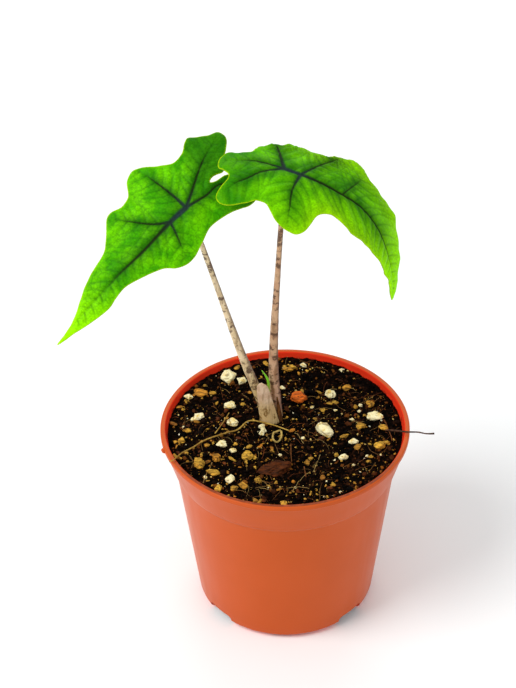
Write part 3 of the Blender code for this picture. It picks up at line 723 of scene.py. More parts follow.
def drifting_finish(name, dark, light, roughness):
    """Two tones that drift into each other, with a fine grain."""
    size = 1.6
    made = Finish(name, Roughness=roughness, Specular_IOR_Level=0.15)
    colour = made.mix(dark, light, made.span(made.noise(size, detail=4.0, rough=0.6), 0.36, 0.64))
    grain = made.noise(size * 0.2, detail=3.0)
    return made.done(colour, made.span(grain, 0.3, 0.7, roughness - 0.06, roughness + 0.08), grain, 0.06, 0.6)


def fibre_finish():
    """Each thread's shade runs from straw (0) to red-brown (1)."""
    made = Finish("fibre_skin", Roughness=0.75, Specular_IOR_Level=0.06)
    colour = made.ramp(made.mask("shade"), [
        (0.00, (0.620, 0.440, 0.120)), (0.30, (0.330, 0.220, 0.070)), (0.60, (0.150, 0.065, 0.018)),
        (1.00, (0.160, 0.040, 0.012)),
    ])
    colour = made.toned(colour, made.noise(1.2, detail=3.0), 0.3, 0.7, 0.6, 1.3)
    return made.done(colour, None, made.noise(0.3), distance=0.05, strength=0.5)


def sheath_finish():
    """Dry papery skin: pale and fibrous above, mottled brown towards its foot."""
    made = Finish("dry_sheath_skin", Roughness=0.70, Specular_IOR_Level=0.10)
    drift = made.noise(2.2, detail=4.0, rough=0.6)
    fibres = made.noise(0.8, scale=(1.0, 1.0, 0.16), detail=4.0)
    blots = made.noise(1.5, scale=(1.0, 1.0, 0.6), detail=4.0, rough=0.6)
    pale = made.mix((0.640, 0.430, 0.270), (0.820, 0.620, 0.430), made.span(drift, 0.36, 0.64))
    foot = made.mix((0.660, 0.470, 0.220), (0.260, 0.150, 0.045), made.span(blots, 0.47, 0.60))
    colour = made.over(pale, (foot, "foot"), ((0.260, 0.160, 0.070), made.span(fibres, 0.54, 0.70), 0.45))
    return made.done(colour, made.span(fibres, 0.3, 0.7, 0.62, 0.80), fibres, distance=0.10, strength=0.8)


def shoot_finish():
    """Straw at the foot and bright green at the tip, with pale flecks."""
    made = Finish("young_shoot", Roughness=0.38, Specular_IOR_Level=0.45)
    colour = made.over(
        (0.42, 0.33, 0.10),
        ((0.22, 0.66, 0.02), made.span(made.mask("along"), 0.35, 0.75)),
        ((0.36, 0.30, 0.08), made.span(made.noise(1.2), 0.5, 0.7), 0.35),
    )
    return made.done(colour, None, made.noise(0.4), distance=0.03, strength=0.4)


# ---------------- leaf blades

def at_station(values, along):
    """The quadratic through the values at the three STATIONS, read at along."""
    total = 0.0
    for station, value in zip(STATIONS, values):
        term = value
        for other in STATIONS:
            if other != station:
                term *= (along - other) / (station - other)
        total += term
    return total


def blade_frame(blade, along):
    """Midrib point, the blade's left direction and its upward normal there."""
    heading = math.radians(blade["heading"])
    forward = Vector((math.cos(heading), math.sin(heading), 0.0))
    left = Vector((-forward.y, forward.x, 0.0))
    start = math.radians(blade["pitch"])
    rate = math.radians(blade["pitch_rate"][int(along > 0)])
    pitch = start + rate * along
    reach = (math.sin(pitch) - math.sin(start)) / rate
    drop = (math.cos(start) - math.cos(pitch)) / rate
    point = Vector(blade["joint"]) + forward * reach - Vector((0.0, 0.0, drop))
    normal = Vector((0.0, 0.0, math.cos(pitch))) + forward * math.sin(pitch)
    return point, left, normal


def blade_point(blade, along, across):
    """Where a point of the flat blade lies once the blade is bent."""
    point, left, normal = blade_frame(blade, along)
    side = 1.0 if across >= 0 else -1.0
    arch = math.radians(at_station(blade["arch_left" if across >= 0 else "arch_right"], along))
    arch = max(arch, 0.001)
    start = side * math.radians(at_station(blade["roll"], along))
    slope = start + arch * abs(across)
    reach = (math.sin(slope) - math.sin(start)) / arch
    drop = (math.cos(start) - math.cos(slope)) / arch
    return point + left * (side * reach) - normal * drop


def blade_normal(blade):
    """Upward normal of the bent blade at its joint."""
    _, left, normal = blade_frame(blade, 0.0)
    roll = math.radians(at_station(blade["roll"], 0.0))
    return normal * math.cos(roll) + left * math.sin(roll)


def side_veins(mains, outline, seed):
    """Thin veins that leave the main ones on alternate sides and curve towards the margin."""
    rng = random.Random(seed)
    found = []
    margin = Border(np.vstack([outline, outline[:1]]))
    lines = [Border(main) for main in mains]
    for number, main in enumerate(mains):
        path = np.array(catmull_rom([tuple(point) for point in main], 0.4))
        run = 0.0
        due = {1: rng.uniform(2.0, 3.0), -1: rng.uniform(2.8, 4.0)}
        for before, after in zip(path, path[1:]):
            run += np.linalg.norm(after - before)
            heading = math.atan2(*(after - before)[::-1])
            for side in (1, -1):
                if run < due[side]:
                    continue
                due[side] += rng.uniform(2.7, 3.7)
                angle = heading + side * math.radians(rng.uniform(58, 70))
                vein = [after]
                for _ in range(70):
                    angle -= side * math.radians(1.1 + rng.uniform(-1.5, 1.5))
                    spot = vein[-1] + 0.4 * np.array((math.cos(angle), math.sin(angle)))
                    if margin.gap(spot) < 0.7 or not margin.encloses(spot):
                        break
                    others = min(line.gap(spot) for index, line in enumerate(lines) if index != number)
                    if len(vein) > 4 and others < 0.5:
                        break
                    vein.append(spot)
                if len(vein) > 4:
                    found.append(np.array(vein))
    return found


def leaf_fields(blade, flat, outline, seed):
    """Height above the smooth blade, thickness, how far the veins stand out below, and colour masks."""
    edge, _ = path_distance(flat, np.vstack([outline, outline[:1]]))
    mains = [np.array(catmull_rom(path, 0.8)) for path, *_ in blade["veins"]]
    height, vein, halo, ridge, side_vein = np.zeros((5, len(flat)))
    nearest, side_gap = np.full((2, len(flat)), np.inf)
    for path, (_, wide, thin, fade) in zip(mains, blade["veins"]):
        gap, share = path_distance(flat, path)
        half = 1.15 * (wide + (thin - wide) * share ** 0.7)
        strength = 1.0 - smoothstep(fade - 0.30, fade, share)
        height = np.minimum(height, -0.42 * (half / 0.85) ** 0.5 * np.exp(-(gap / (half * 1.2)) ** 2))
        core = 1.0 - smoothstep(0.30 * half, 1.05 * half, gap)
        vein = np.maximum(vein, core * (0.10 + 0.90 * strength))
        reach = 0.9 + 2.6 * half + 0.9 * blade["sun"]
        halo = np.maximum(halo, np.exp(-(gap / reach) ** 2) * (0.20 + 0.80 * strength))
        ridge = np.maximum(ridge, 1.1 * half * np.exp(-(gap / (half * 0.9)) ** 2))
        nearest = np.minimum(nearest, gap)
    for path in side_veins(mains, outline, seed):
        gap, share = path_distance(flat, path)
        side_gap = np.minimum(side_gap, gap)
        side_vein = np.maximum(side_vein, np.exp(-(gap / 0.26) ** 2) * (1.0 - 0.75 * share))
    near_any = np.minimum(nearest, side_gap)
    net = net_border(flat, 1.75, seed)
    fine = net_border(flat, 0.85, seed + 1)
    border = np.exp(-(net / 0.24) ** 2)
    dome = smoothstep(0.35, 1.9, near_any)
    ruffle = blade["ruffle"] * smoothstep(5.0, 11.0, flat[:, 1]) * (1.0 - smoothstep(14.0, 26.0, flat[:, 0]))
    calm = smoothstep(0.0, 1.2, edge)
    height += (0.26 + 0.55 * ruffle) * dome * calm
    height -= 0.09 * np.exp(-(side_gap / 0.45) ** 2) * calm
    height -= (0.045 + 0.24 * ruffle) * border * calm
    height -= (0.020 + 0.16 * ruffle) * np.exp(-(fine / 0.16) ** 2) * calm
    swell = np.array([wave(a * 0.16, b * 0.16, seed) for a, b in flat])
    frill = np.array([wave(a * 0.33, b * 0.33, seed + 7.0) for a, b in flat])
    height += 0.7 * swell * smoothstep(1.0, 7.0, nearest) + 0.45 * frill * np.exp(-edge / 1.6)
    thickness = LEAF_EDGE_THICKNESS + (LEAF_THICKNESS - LEAF_EDGE_THICKNESS) * smoothstep(0.0, 0.9, edge)
    # sun is how strongly painted sunlight is laid on this blade; it also tempers the net and the painted
    # shade
    sun, along = blade["sun"], flat[:, 0]
    masks = {
        "vein": vein,
        "halo": halo,
        "side_vein": side_vein * (1.0 - vein),
        "net": border * (1.0 - vein) * calm * (1.0 - 0.5 * sun) * smoothstep(50.0, 34.0, along),
        "dome": dome * 0.5 * (0.6 + 0.4 * sun),
        # joint: where the painted bluish sheen lies on the veins near the joint
        "joint": np.exp(-(np.hypot(along - 2.5, flat[:, 1]) / 4.5) ** 2) * vein,
        "tip": smoothstep(28.0, 50.0, along) * (0.55 + 0.40 * np.exp(-edge / 2.5)),
        # sun: painted sunlight, a lime glow near the edges
        "sun": sun * 0.80 * np.exp(-edge / 4.5) * smoothstep(-12.0, 14.0, along),
        # shade here is painted shade: darker towards the hind lobes, less on the sunlit blade, and over the
        # ruffled far margin
        "shade": np.maximum(smoothstep(-4.0, -13.0, along) * (1.0 - 0.35 * sun), 0.25 * ruffle),
        # margin: a painted glow along the edge, as if lit through from behind
        "margin": 1.0 - smoothstep(0.08, 0.26, edge),
    }
    return height, thickness, ridge, masks


def make_leaf(name, blade, finish, seed):
    """A blade from a fine net of triangles inside its outline, bent and then raised into relief."""
    outline = np.array(catmull_rom(blade["outline"], LEAF_CELL, closed=True))
    crinkle = blade["ruffle"] * smoothstep(5.0, 10.0, outline[:, 1]) * smoothstep(34.0, 24.0, outline[:, 0])
    strays = [[wave(a * 1.1, b * 1.1, level) for level in (2.0, 6.0)] for a, b in outline]
    outline += CRINKLE * crinkle[:, None] * np.array(strays)
    row = LEAF_CELL * 0.87
    low, high = outline.min(0), outline.max(0)
    grid = []
    for number in range(int((high[0] - low[0]) / row) + 1):
        shift = 0.5 * (number % 2)
        for column in range(int((high[1] - low[1]) / LEAF_CELL) + 1):
            grid.append((low[0] + number * row, low[1] + (column + shift) * LEAF_CELL))
    grid = np.array(grid)
    margin = np.vstack([outline, outline[:1]])
    within = Border(margin)
    grid = grid[[within.encloses(spot) for spot in grid]]
    gap, _ = path_distance(grid, margin)
    grid = grid[gap > 0.45 * LEAF_CELL]
    count = len(outline)
    rim = [(index, (index + 1) % count) for index in range(count)]
    start = [Vector(point) for point in (*outline, *grid)]
    flat, _, faces, *_ = geometry.delaunay_2d_cdt(start, rim, [], 1, 0.0001)
    flat = np.array([tuple(point) for point in flat])
    faces = np.array(faces)
    middle = np.array([tuple(blade_point(blade, a, b)) for a, b in flat])
    normals = point_normals(middle, faces)
    if normals.mean(0) @ np.array(blade_normal(blade)) < 0:
        faces = faces[:, ::-1]
        normals = -normals
    height, thickness, ridge, masks = leaf_fields(blade, flat, outline, seed)
    top = middle + normals * (height + thickness / 2)[:, None]
    bottom = middle + normals * (height - thickness / 2 - ridge)[:, None]
    masks = {mask: np.concatenate([values, values]) for mask, values in masks.items()}
    masks["under"] = np.repeat([0.0, 1.0], len(flat))
    faces = thickened(faces, len(flat))
    piece(f"{name}_blade", np.concatenate([top, bottom]), faces, finish, [name], masks)


def make_stalk(name, route, blade, finish, seed):
    """A leaf stalk that widens into its blade's joint."""
    normal = np.array(blade_normal(blade))
    joint = np.array(blade["joint"])
    stations = catmull_rom(route, 0.6)
    end = tuple(joint - normal * 1.2)
    last = stations[-1]
    neck = np.array(last[:3]) * 0.45 + np.array(end) * 0.55
    stations += catmull_rom([last, (*neck, 0.86), (*end, STALK_FLARE)], 0.5)[1:]
    points, faces, _ = sweep(stations, 28, wobble=0.07, seed=seed)
    normals = point_normals(points, np.array([face[:3] for face in faces]))
    masks = {
        # painted shade: the side facing right, away from the key light, is darkened
        "shaded_side": smoothstep(0.35, 1.0, normals[:, 0]),
        "foot": smoothstep(92.0, 68.0, points[:, 2]),
    }
    piece(f"{name}_stalk", points, faces, finish, [name], masks)


# ---------------- pot

def inner_radius(height):
    """Radius of the pot's inner wall at a height."""
    if height < COLLAR_FOOT_Z:
        return BASE_RADIUS + height / COLLAR_FOOT_Z * (BODY_TOP_RADIUS - BASE_RADIUS) - WALL
    share = (height - COLLAR_FOOT_Z) / (POT_HEIGHT - LIP_HEIGHT - COLLAR_FOOT_Z)
    foot = BODY_TOP_RADIUS - WALL
    return foot + min(share, 1.0) * (RIM_RADIUS - LIP_WIDTH - foot)


def rounded(points, radius, steps=4):
    """The open profile with each inner corner turned into a small arc of about that radius."""
    made = [points[0]]
    for before, corner, after in zip(points, points[1:], points[2:]):
        before, corner, after = Vector(before), Vector(corner), Vector(after)
        reach = min(radius, (before - corner).length * 0.45, (after - corner).length * 0.45)
        start = corner + (before - corner).normalized() * reach
        end = corner + (after - corner).normalized() * reach
        for step in range(steps + 1):
            t = step / steps
            made.append(tuple(start * (1 - t) ** 2 + corner * 2 * t * (1 - t) + end * t * t))
    return made + [points[-1]]


def divided(profile, longest):
    """The same open profile with its long straight runs cut into steps."""
    made = [tuple(profile[0])]
    for start, end in zip(profile, profile[1:]):
        count = max(1, round(math.dist(start, end) / longest))
        made += [tuple(Vector(start).lerp(Vector(end), (step + 1) / count)) for step in range(count)]
    return made


def make_pot(finish):
    """The turned shell with its notches cut out, and the torn bit on its rim."""
    lip_foot = POT_HEIGHT - LIP_HEIGHT
    profile = rounded([
        (0.0, FLOOR_THICKNESS),
        (inner_radius(FLOOR_THICKNESS), FLOOR_THICKNESS),
        (inner_radius(COLLAR_FOOT_Z), COLLAR_FOOT_Z),
        (inner_radius(lip_foot), lip_foot),
        (RIM_RADIUS - LIP_WIDTH + 0.1, POT_HEIGHT),
        (RIM_RADIUS, POT_HEIGHT),
        (RIM_RADIUS, lip_foot),
        (RIM_RADIUS - 0.55, lip_foot - 0.35),
        (COLLAR_FOOT_RADIUS + 0.15, COLLAR_FOOT_Z + 0.2),
        (BODY_TOP_RADIUS, COLLAR_FOOT_Z - 0.6),
        (BASE_RADIUS + 0.15, 1.7),
        (FOOT_RADIUS, 0.0),
        (0.0, 0.0),
    ], POT_CORNER)
    profile = divided(profile, POT_STRIP)
    points = [(0.0, 0.0, profile[0][1]), (0.0, 0.0, profile[-1][1])]
    rings = profile[1:-1]
    for radius, height in rings:
        points += circle(radius, height, POT_STEPS)
    faces = [(b, a, d, c) for a, b, c, d in ring_faces(len(rings), POT_STEPS, 2)]
    last = 2 + (len(rings) - 1) * POT_STEPS
    for step in range(POT_STEPS):
        after = (step + 1) % POT_STEPS
        faces.append((0, 2 + step, 2 + after))
        faces.append((1, last + after, last + step))
    solid = new_object("pot_solid", points, faces)
    cutters = []
    for azimuth in NOTCH_AZIMUTHS:
        cutter = notch_cutter()
        cutter.rotation_euler.z = math.radians(azimuth)
        cut = solid.modifiers.new("Notch", "BOOLEAN")
        cut.operation, cut.solver, cut.object = "DIFFERENCE", "EXACT", cutter
        cutters.append(cutter)
    bpy.context.view_layer.update()
    cut_mesh = bpy.data.meshes.new_from_object(solid.evaluated_get(bpy.context.evaluated_depsgraph_get()))
    for obj in (*cutters, solid):
        bpy.data.objects.remove(obj)
    cut_mesh.name = "pot"
    pot = bpy.data.objects.new("pot_body", cut_mesh)
    bpy.context.scene.collection.objects.link(pot)
    cut_mesh.materials.clear()
    cut_mesh.materials.append(finish)
    cut_mesh.shade_smooth()
    cut_mesh.set_sharp_from_angle(angle=math.radians(POT_SHARP))
    spots = np.array([tuple(vert.co) for vert in cut_mesh.vertices]) / MM
    radii = np.hypot(spots[:, 0], spots[:, 1])
    walls = np.array([inner_radius(height) for height in spots[:, 2]])
    # inner marks the inner wall, which the finish paints brighter and redder as bounced light
    inner = (radii < walls + WALL / 3).astype(float)
    lip = smoothstep(POT_HEIGHT - 0.9, POT_HEIGHT - 0.2, spots[:, 2]) * (radii < RIM_RADIUS - 0.35)
    lip *= smoothstep(-8.0, -28.0, spots[:, 1])
    dirt = inner * smoothstep(SOIL_TOP + 1.3, SOIL_TOP + 0.3, spots[:, 2])
    paint(cut_mesh, {"inner": inner, "lip": lip * (1.0 - 0.6 * inner), "dirt": dirt})
    placed(pot, ["pot"])
    shape = ball(4)
    points, _ = lump(shape[0], NUB, (0.95, 0.75, 0.85), 0.4, 0.2, 7.7, facets=9)
    piece("pot_rim_nub", points, shape[1], finish)


def notch_cutter():
    """A block with rounded upper corners, wide enough for one drain notch at the front of the base."""
    half, low, arc = NOTCH_WIDTH / 2, -1.0, NOTCH_CORNER
    turns = np.linspace(0, math.pi / 2, 7)
    quarter = [(arc * math.cos(t), NOTCH_HEIGHT - arc + arc * math.sin(t)) for t in turns]
    section = [(-half, low), (half, low)]
    section += [(half - arc + x, z) for x, z in quarter]
    section += [(-half + arc - x, z) for x, z in reversed(quarter)]
    count = len(section)
    points = [(x, -BASE_RADIUS + y, z) for y in (-NOTCH_DEPTH / 2, NOTCH_DEPTH / 2) for x, z in section]
    faces = [tuple(range(count)), tuple(range(2 * count - 1, count - 1, -1))]
    faces += [((i + 1) % count, i, i + count, (i + 1) % count + count) for i in range(count)]
    return new_object("notch", points, faces)


# ---------------- soil and what lies on it

def soil_height(x, y):
    """The uneven surface of the soil."""
    clods = wave(x * 0.16, y * 0.16, 3.1)
    lumps = wave(x * 0.55, y * 0.55, 8.7)
    grit = wave(x * 1.6, y * 1.6, 1.9)
    radius = math.hypot(x, y)
    edge = min(max((radius - 30.0) / 5.0, 0.0), 1.0)
    bank = min(max((radius - 28.0) / 7.0, 0.0), 1.0) * min(max((y + 5.0) / 25.0, 0.0), 1.0)
    level = SOIL_TOP - 0.35 - 0.35 * edge + BANK_RISE * bank
    return level + 0.75 * clods * (1 - 0.6 * edge) + 0.5 * lumps + 0.28 * grit


def make_soil(finish):
    """The root ball: a rough top, and sides that follow the pot's wall down to its floor."""
    outer = inner_radius(SOIL_TOP) - 0.15
    foot = FLOOR_THICKNESS + SOIL_GAP
    rings = round(outer / SOIL_CELL)
    points, faces = [(0.0, 0.0, soil_height(0.0, 0.0))], []
    starts, counts = [0], [1]
    for ring in range(1, rings + 1):
        radius = outer * ring / rings
        count = max(8, 8 * round(2 * math.pi * radius / SOIL_CELL / 8))
        starts.append(len(points))
        counts.append(count)
        points += [(x, y, soil_height(x, y)) for x, y, _ in circle(radius, 0.0, count)]
    for ring in range(rings):
        faces += stitch(starts[ring], counts[ring], starts[ring + 1], counts[ring + 1])
    above, count = starts[-1], counts[-1]
    steps = [(step, (step + 1) % count) for step in range(count)]
    levels = np.linspace(SOIL_TOP - 3.0, SOIL_FOOT_RISE, 15)
    sides = [(inner_radius(height) - SOIL_GAP, height) for height in levels]
    for radius, height in (*sides, (SOIL_FOOT_RADIUS, foot)):
        start = len(points)
        points += circle(radius, height, count)
        faces += [(above + a, start + a, start + b, above + b) for a, b in steps]
        above = start
    points.append((0.0, 0.0, foot))
    faces += [(above + b, above + a, len(points) - 1) for a, b in steps]
    piece("soil_body", points, faces, finish, ["soil"])


def stitch(inner_start, inner_count, outer_start, outer_count):
    """Triangles between two rings of points about the same centre, or round the centre itself."""
    faces = []
    inner = outer = 0
    while inner < inner_count or outer < outer_count:
        inner_next = (inner + 1) / inner_count if inner < inner_count and inner_count > 1 else 2.0
        outer_next = (outer + 1) / outer_count if outer < outer_count else 2.0
        a, b = inner_start + inner % inner_count, outer_start + outer % outer_count
        if outer_next <= inner_next:
            if outer_next > 1.5:
                break
            faces.append((a, b, outer_start + (outer + 1) % outer_count))
            outer += 1
        else:
            faces.append((a, b, inner_start + (inner + 1) % inner_count))
            inner += 1
    return faces


def lump(shape, centre, half, turn, rough, seed, facets=16, least=0.74):
    """An uneven grain: a ball worn down to rounded facets, with a noisy skin.

    Returns its points and how deep in a pit each is. least is the nearest that a facet comes."""
    rng = np.random.default_rng(round(seed * 100))
    toward = rng.normal(size=(facets, 3))
    toward /= np.linalg.norm(toward, axis=1, keepdims=True)
    facing = np.maximum(shape @ toward.T, 0.0) / rng.uniform(least, 1.0, facets)
    radius = np.minimum((facing ** FACET_EDGE).sum(1) ** (-1 / FACET_EDGE), 1.15)
    broad, small = Vector((seed, 0, 0)), Vector((0, seed, 0))
    swell = [noise.noise(Vector(p) * 1.3 + broad) + 0.5 * noise.noise(Vector(p) * 3.1 + small) for p in shape]
    swell = np.array(swell)
    points = shape * (radius * (1.0 + rough * swell))[:, None] * np.array(half)
    spin = np.array([[math.cos(turn), -math.sin(turn), 0], [math.sin(turn), math.cos(turn), 0], [0, 0, 1]])
    return points @ spin.T + np.array(centre), smoothstep(0.15, 0.6, -swell)


def splintered(points, centre, turn):
    """The grain's points with ridges and torn ends along it."""
    along = np.array((math.cos(turn), math.sin(turn), 0.0))
    across = np.array((-math.sin(turn), math.cos(turn), 0.0))
    away = points - np.array(centre)
    u, v = away @ along, away @ across
    ridge = np.array([wave(a * 0.35, b * 2.6, 4.0) for a, b in zip(u, v)])
    torn = np.array([wave(0.0, b * 2.1, 9.0) for b in v])
    return points + np.outer(0.75 * ridge * (away[:, 2] > 0), (0, 0, 1)) + np.outer(u * 0.22 * torn, along)


def crumb(shape, rng, x, y, size, flatness):
    """A small angular crumb at (x, y) on the soil, turned at random."""
    half = np.array([size * rng.uniform(0.7, 1.3), size * rng.uniform(0.5, 1.0), size * flatness])
    points = shape * np.array([rng.uniform(0.65, 1.25) for _ in range(len(shape))])[:, None] * half
    spin = Matrix.Rotation(rng.uniform(0, 2 * math.pi), 3, "Z")
    tilt = Matrix.Rotation(rng.uniform(-0.9, 0.9), 3, "X")
    points = points @ np.array(spin @ tilt).T
    lift = size * rng.uniform(-0.15, 0.5)
    return points + np.array((x, y, soil_height(x, y) + lift))


def clear_spot(x, y):
    """Whether a crumb may lie at (x, y): on the soil, off the crown and off the larger grains."""
    if math.hypot(x, y) > inner_radius(SOIL_TOP) - 1.0:
        return False
    if math.hypot((x - CROWN_CENTRE[0]) / CROWN_STRETCH, y - CROWN_CENTRE[1]) < CROWN_RADIUS + 0.7:
        return False
    return all(
        ((x - gx) / (w / 2 + 0.1)) ** 2 + ((y - gy) / (d / 2 + 0.1)) ** 2 > 1.0
        for gx, gy, w, d, *_ in PERLITE + BARK
    )


def shade_of(rng):
    """Mostly dark crumbs, with fewer brown, ochre and cream ones."""
    pick = rng.random()
    if pick < 0.60:
        return rng.uniform(0.0, 0.55)
    if pick < 0.82:
        return rng.uniform(0.55, 0.80)
    if pick < 0.93:
        return rng.uniform(0.80, 0.92)
    return rng.uniform(0.92, 1.0)


def spot_on_soil(rng, reach):
    """A random place within reach of the pot's axis."""
    angle, radius = rng.uniform(0, 2 * math.pi), reach * math.sqrt(rng.random())
    return radius * math.cos(angle), radius * math.sin(angle)


def scatter_crumbs(finish):
    """The fine crumbs that cover the soil, and larger flat chips among them."""
    rng = random.Random(5)
    small, large = ball(1), ball(2)
    crumbs = Bunch()
    while crumbs.count < FINE_CRUMBS * len(small[0]):
        x, y = spot_on_soil(rng, 37.0)
        if clear_spot(x, y):
            size = 0.14 + 0.40 * rng.random() ** 2.6
            points = crumb(small[0], rng, x, y, size, rng.uniform(0.3, 0.9))
            crumbs.add(points, small[1], shade=shade_of(rng))
    crumbs.make("soil_crumbs_fine", finish)
    chips = Bunch()
    while chips.count < CHIPS * len(large[0]):
        x, y = spot_on_soil(rng, 36.6)
        if clear_spot(x, y):
            size = 0.45 + 0.75 * rng.random() ** 2
            shade = min(shade_of(rng) * 0.97, 0.93)
            chips.add(crumb(large[0], rng, x, y, size, rng.uniform(0.25, 0.6)), large[1], shade=shade)
    chips.make("soil_chips", finish)


def scatter_grit(finish):
    """Angular ochre and brown grit, thicker towards the left and the front."""
    rng = random.Random(13)
    shape = ball(3)
    grit = Bunch()
    while grit.count < GRIT_GRAINS * len(shape[0]):
        x, y = spot_on_soil(rng, 35.8)
        if not clear_spot(x, y) or rng.random() > 0.42 - 0.008 * x - 0.006 * y:
            continue
        if any(math.dist((x, y), grain[:2]) < 0.5 * grain[2] + 0.9 for grain in FINE_BARK):
            continue
        size = 0.40 + 0.60 * rng.random() ** 2.0
        half = (size * rng.uniform(0.9, 1.5), size * rng.uniform(0.55, 0.95), size * rng.uniform(0.35, 0.6))
        centre = (x, y, soil_height(x, y) + 0.5 * half[2])
        points, pit = lump(shape[0], centre, half, rng.uniform(0, math.pi), 0.10, rng.uniform(0, 90), 6, 0.46)
        shade = rng.choice((0.12, 0.22, 0.30, 0.42, 0.50, 0.55, 0.66, 0.74))
        grit.add(points, shape[1], pit=pit * 0.6, shade=shade)
    grit.make("grit", finish)


def make_grains(perlite, bark):
    """The grains that have a CAD node, one piece each, and the smaller ones together."""
    shape, faces = ball(5)
    for kind, grains, finish, rough, facets in (
        ("perlite", PERLITE, perlite, 0.20, 18), ("bark", BARK, bark, 0.16, 9),
    ):
        for number, (x, y, width, depth, *turn) in enumerate(grains, 1):
            height = GRAIN_HEIGHT * min(width, depth)
            centre = Vector((x, y, SOIL_TOP + height * (0.5 - GRAIN_SINK)))
            cluster = CLUSTERS.get((kind, number))
            half = np.array((width, depth * (CLUSTER_LUMP if cluster else 1.0), height)) / 2
            half *= 1.0 if cluster else GRAIN_SWELL
            spin = math.radians(sum(turn))
            seed = number * 3.7 + 40 * (kind == "bark")
            bunch = Bunch()
            for across, along in cluster or [(0.0, 0.0)]:
                middle = centre + Vector((across * width, along * depth, 0.0))
                points, pit = lump(shape, middle, half, spin, rough, seed + 9 * along, facets, 0.70)
                if kind == "bark" and number in SPLINTERY:
                    points = splintered(points, middle, spin)
                bunch.add(points, faces, pit=pit, shade=BARK_SHADES.get(number, 0.5))
            bunch.make(f"{kind}_grain_{number:02d}", finish, [f"{kind}_{number:02d}"])
    plain = ball(4)
    for name, grains, finish, slot, facets in (
        ("perlite_fine", FINE_PERLITE, perlite, "perlite", 16), ("bark_fine", FINE_BARK, bark, "bark", 7),
    ):
        bunch = Bunch()
        for number, (x, y, width, depth) in enumerate(grains, 1):
            height = 0.7 * min(width, depth)
            centre = (x, y, soil_height(x, y) + 0.30 * height)
            half = np.array((width, depth, height)) * 0.56
            points, pit = lump(plain[0], centre, half, number * 1.1, 0.12, number * 2.9, facets, 0.52)
            bunch.add(points, plain[1], pit=pit, shade=0.36 + 0.26 * ((number * 7) % 5) / 4)
        bunch.make(name, finish)


def make_fibres(finish):
    """Fine root hairs and coir threads that arch over the soil, and the few that stand out."""
    rng = random.Random(21)
    fibres = Bunch()
    for _ in range(FIBRES):
        x, y = spot_on_soil(rng, 34.0)
        if not clear_spot(x, y):
            continue
        heading = rng.uniform(0, 2 * math.pi)
        length = rng.uniform(2.0, 8.0)
        arch = rng.uniform(0.1, 0.9)
        thick = rng.uniform(0.04, 0.10)
        stations = []
        bend = rng.uniform(-0.12, 0.12)
        for step in range(FIBRE_STEPS + 1):
            share = step / FIBRE_STEPS
            heading += bend + rng.uniform(-0.05, 0.05)
            x += math.cos(heading) * length / FIBRE_STEPS
            y += math.sin(heading) * length / FIBRE_STEPS
            if math.hypot(x, y) > 35.8:
                break
            z = soil_height(x, y) + 0.12 + arch * math.sin(math.pi * share)
            stations.append((x, y, z, thick * (1.0 - 0.6 * share)))
        if len(stations) > 4:
            points, faces, _ = sweep(stations, 6)
            fibres.add(points, faces, shade=rng.uniform(0.3, 1.0))
    for route, thick, shade in THREADS:
        path = catmull_rom(route, 0.5)
        stations = [(x, y, soil_height(x, y) + 0.35 + thick, thick) for x, y in path]
        points, faces, _ = sweep(stations, 8, wobble=0.3, seed=thick * 90)
        fibres.add(points, faces, shade=shade)
    fibres.make("coir_fibres", finish)


def make_shoot(finish):
    """The small green shoot between the stalks."""
    stations = catmull_rom(SHOOT, 0.4)
    points, faces, along = sweep(stations, 20, wobble=0.05, seed=9.0)
    piece("shoot_body", points, faces, finish, ["new_shoot"], {"along": along})


def make_root(name, route, finish, node, slimness=0.62):
    """A root along its route; slimness is its radius over that of the CAD node."""
    stations = catmull_rom([(*point, radius * slimness) for *point, radius in route], 0.5)
    points, faces, _ = sweep(stations, ROOT_SIDES, wobble=0.22, seed=len(name))
    piece(name, points, faces, finish, [node])


def make_crown(finish):
    """The swollen foot of the plant, ridged by the bases of its leaf stalks."""
    rings, sides = 26, 48
    points = []
    for height in np.linspace(-3.0, 5.2, rings):
        share = np.interp(height, (-3.0, -1.8, 0.0, 1.6, 3.6, 5.2), (0.55, 0.86, 1.0, 0.97, 0.80, 0.45))
        for step in range(sides):
            angle = 2 * math.pi * step / sides
            ridge = wave(math.cos(angle) * 2.4, math.sin(angle) * 2.4, height * 0.18)
            radius = CROWN_RADIUS * share * (1.0 + 0.10 * ridge)
            points.append((
                CROWN_CENTRE[0] + CROWN_STRETCH * radius * math.cos(angle),
                CROWN_CENTRE[1] + radius * math.sin(angle),
                SOIL_TOP + height,
            ))
    faces = ring_faces(rings, sides)
    faces.append(tuple(range(sides))[::-1])
    faces.append(tuple(range((rings - 1) * sides, rings * sides)))
    piece("crown_body", points, faces, finish, ["crown"])


def between(ends, share):
    """The value that share of the way from the first end to the second."""
    return ends[0] + share * (ends[1] - ends[0])


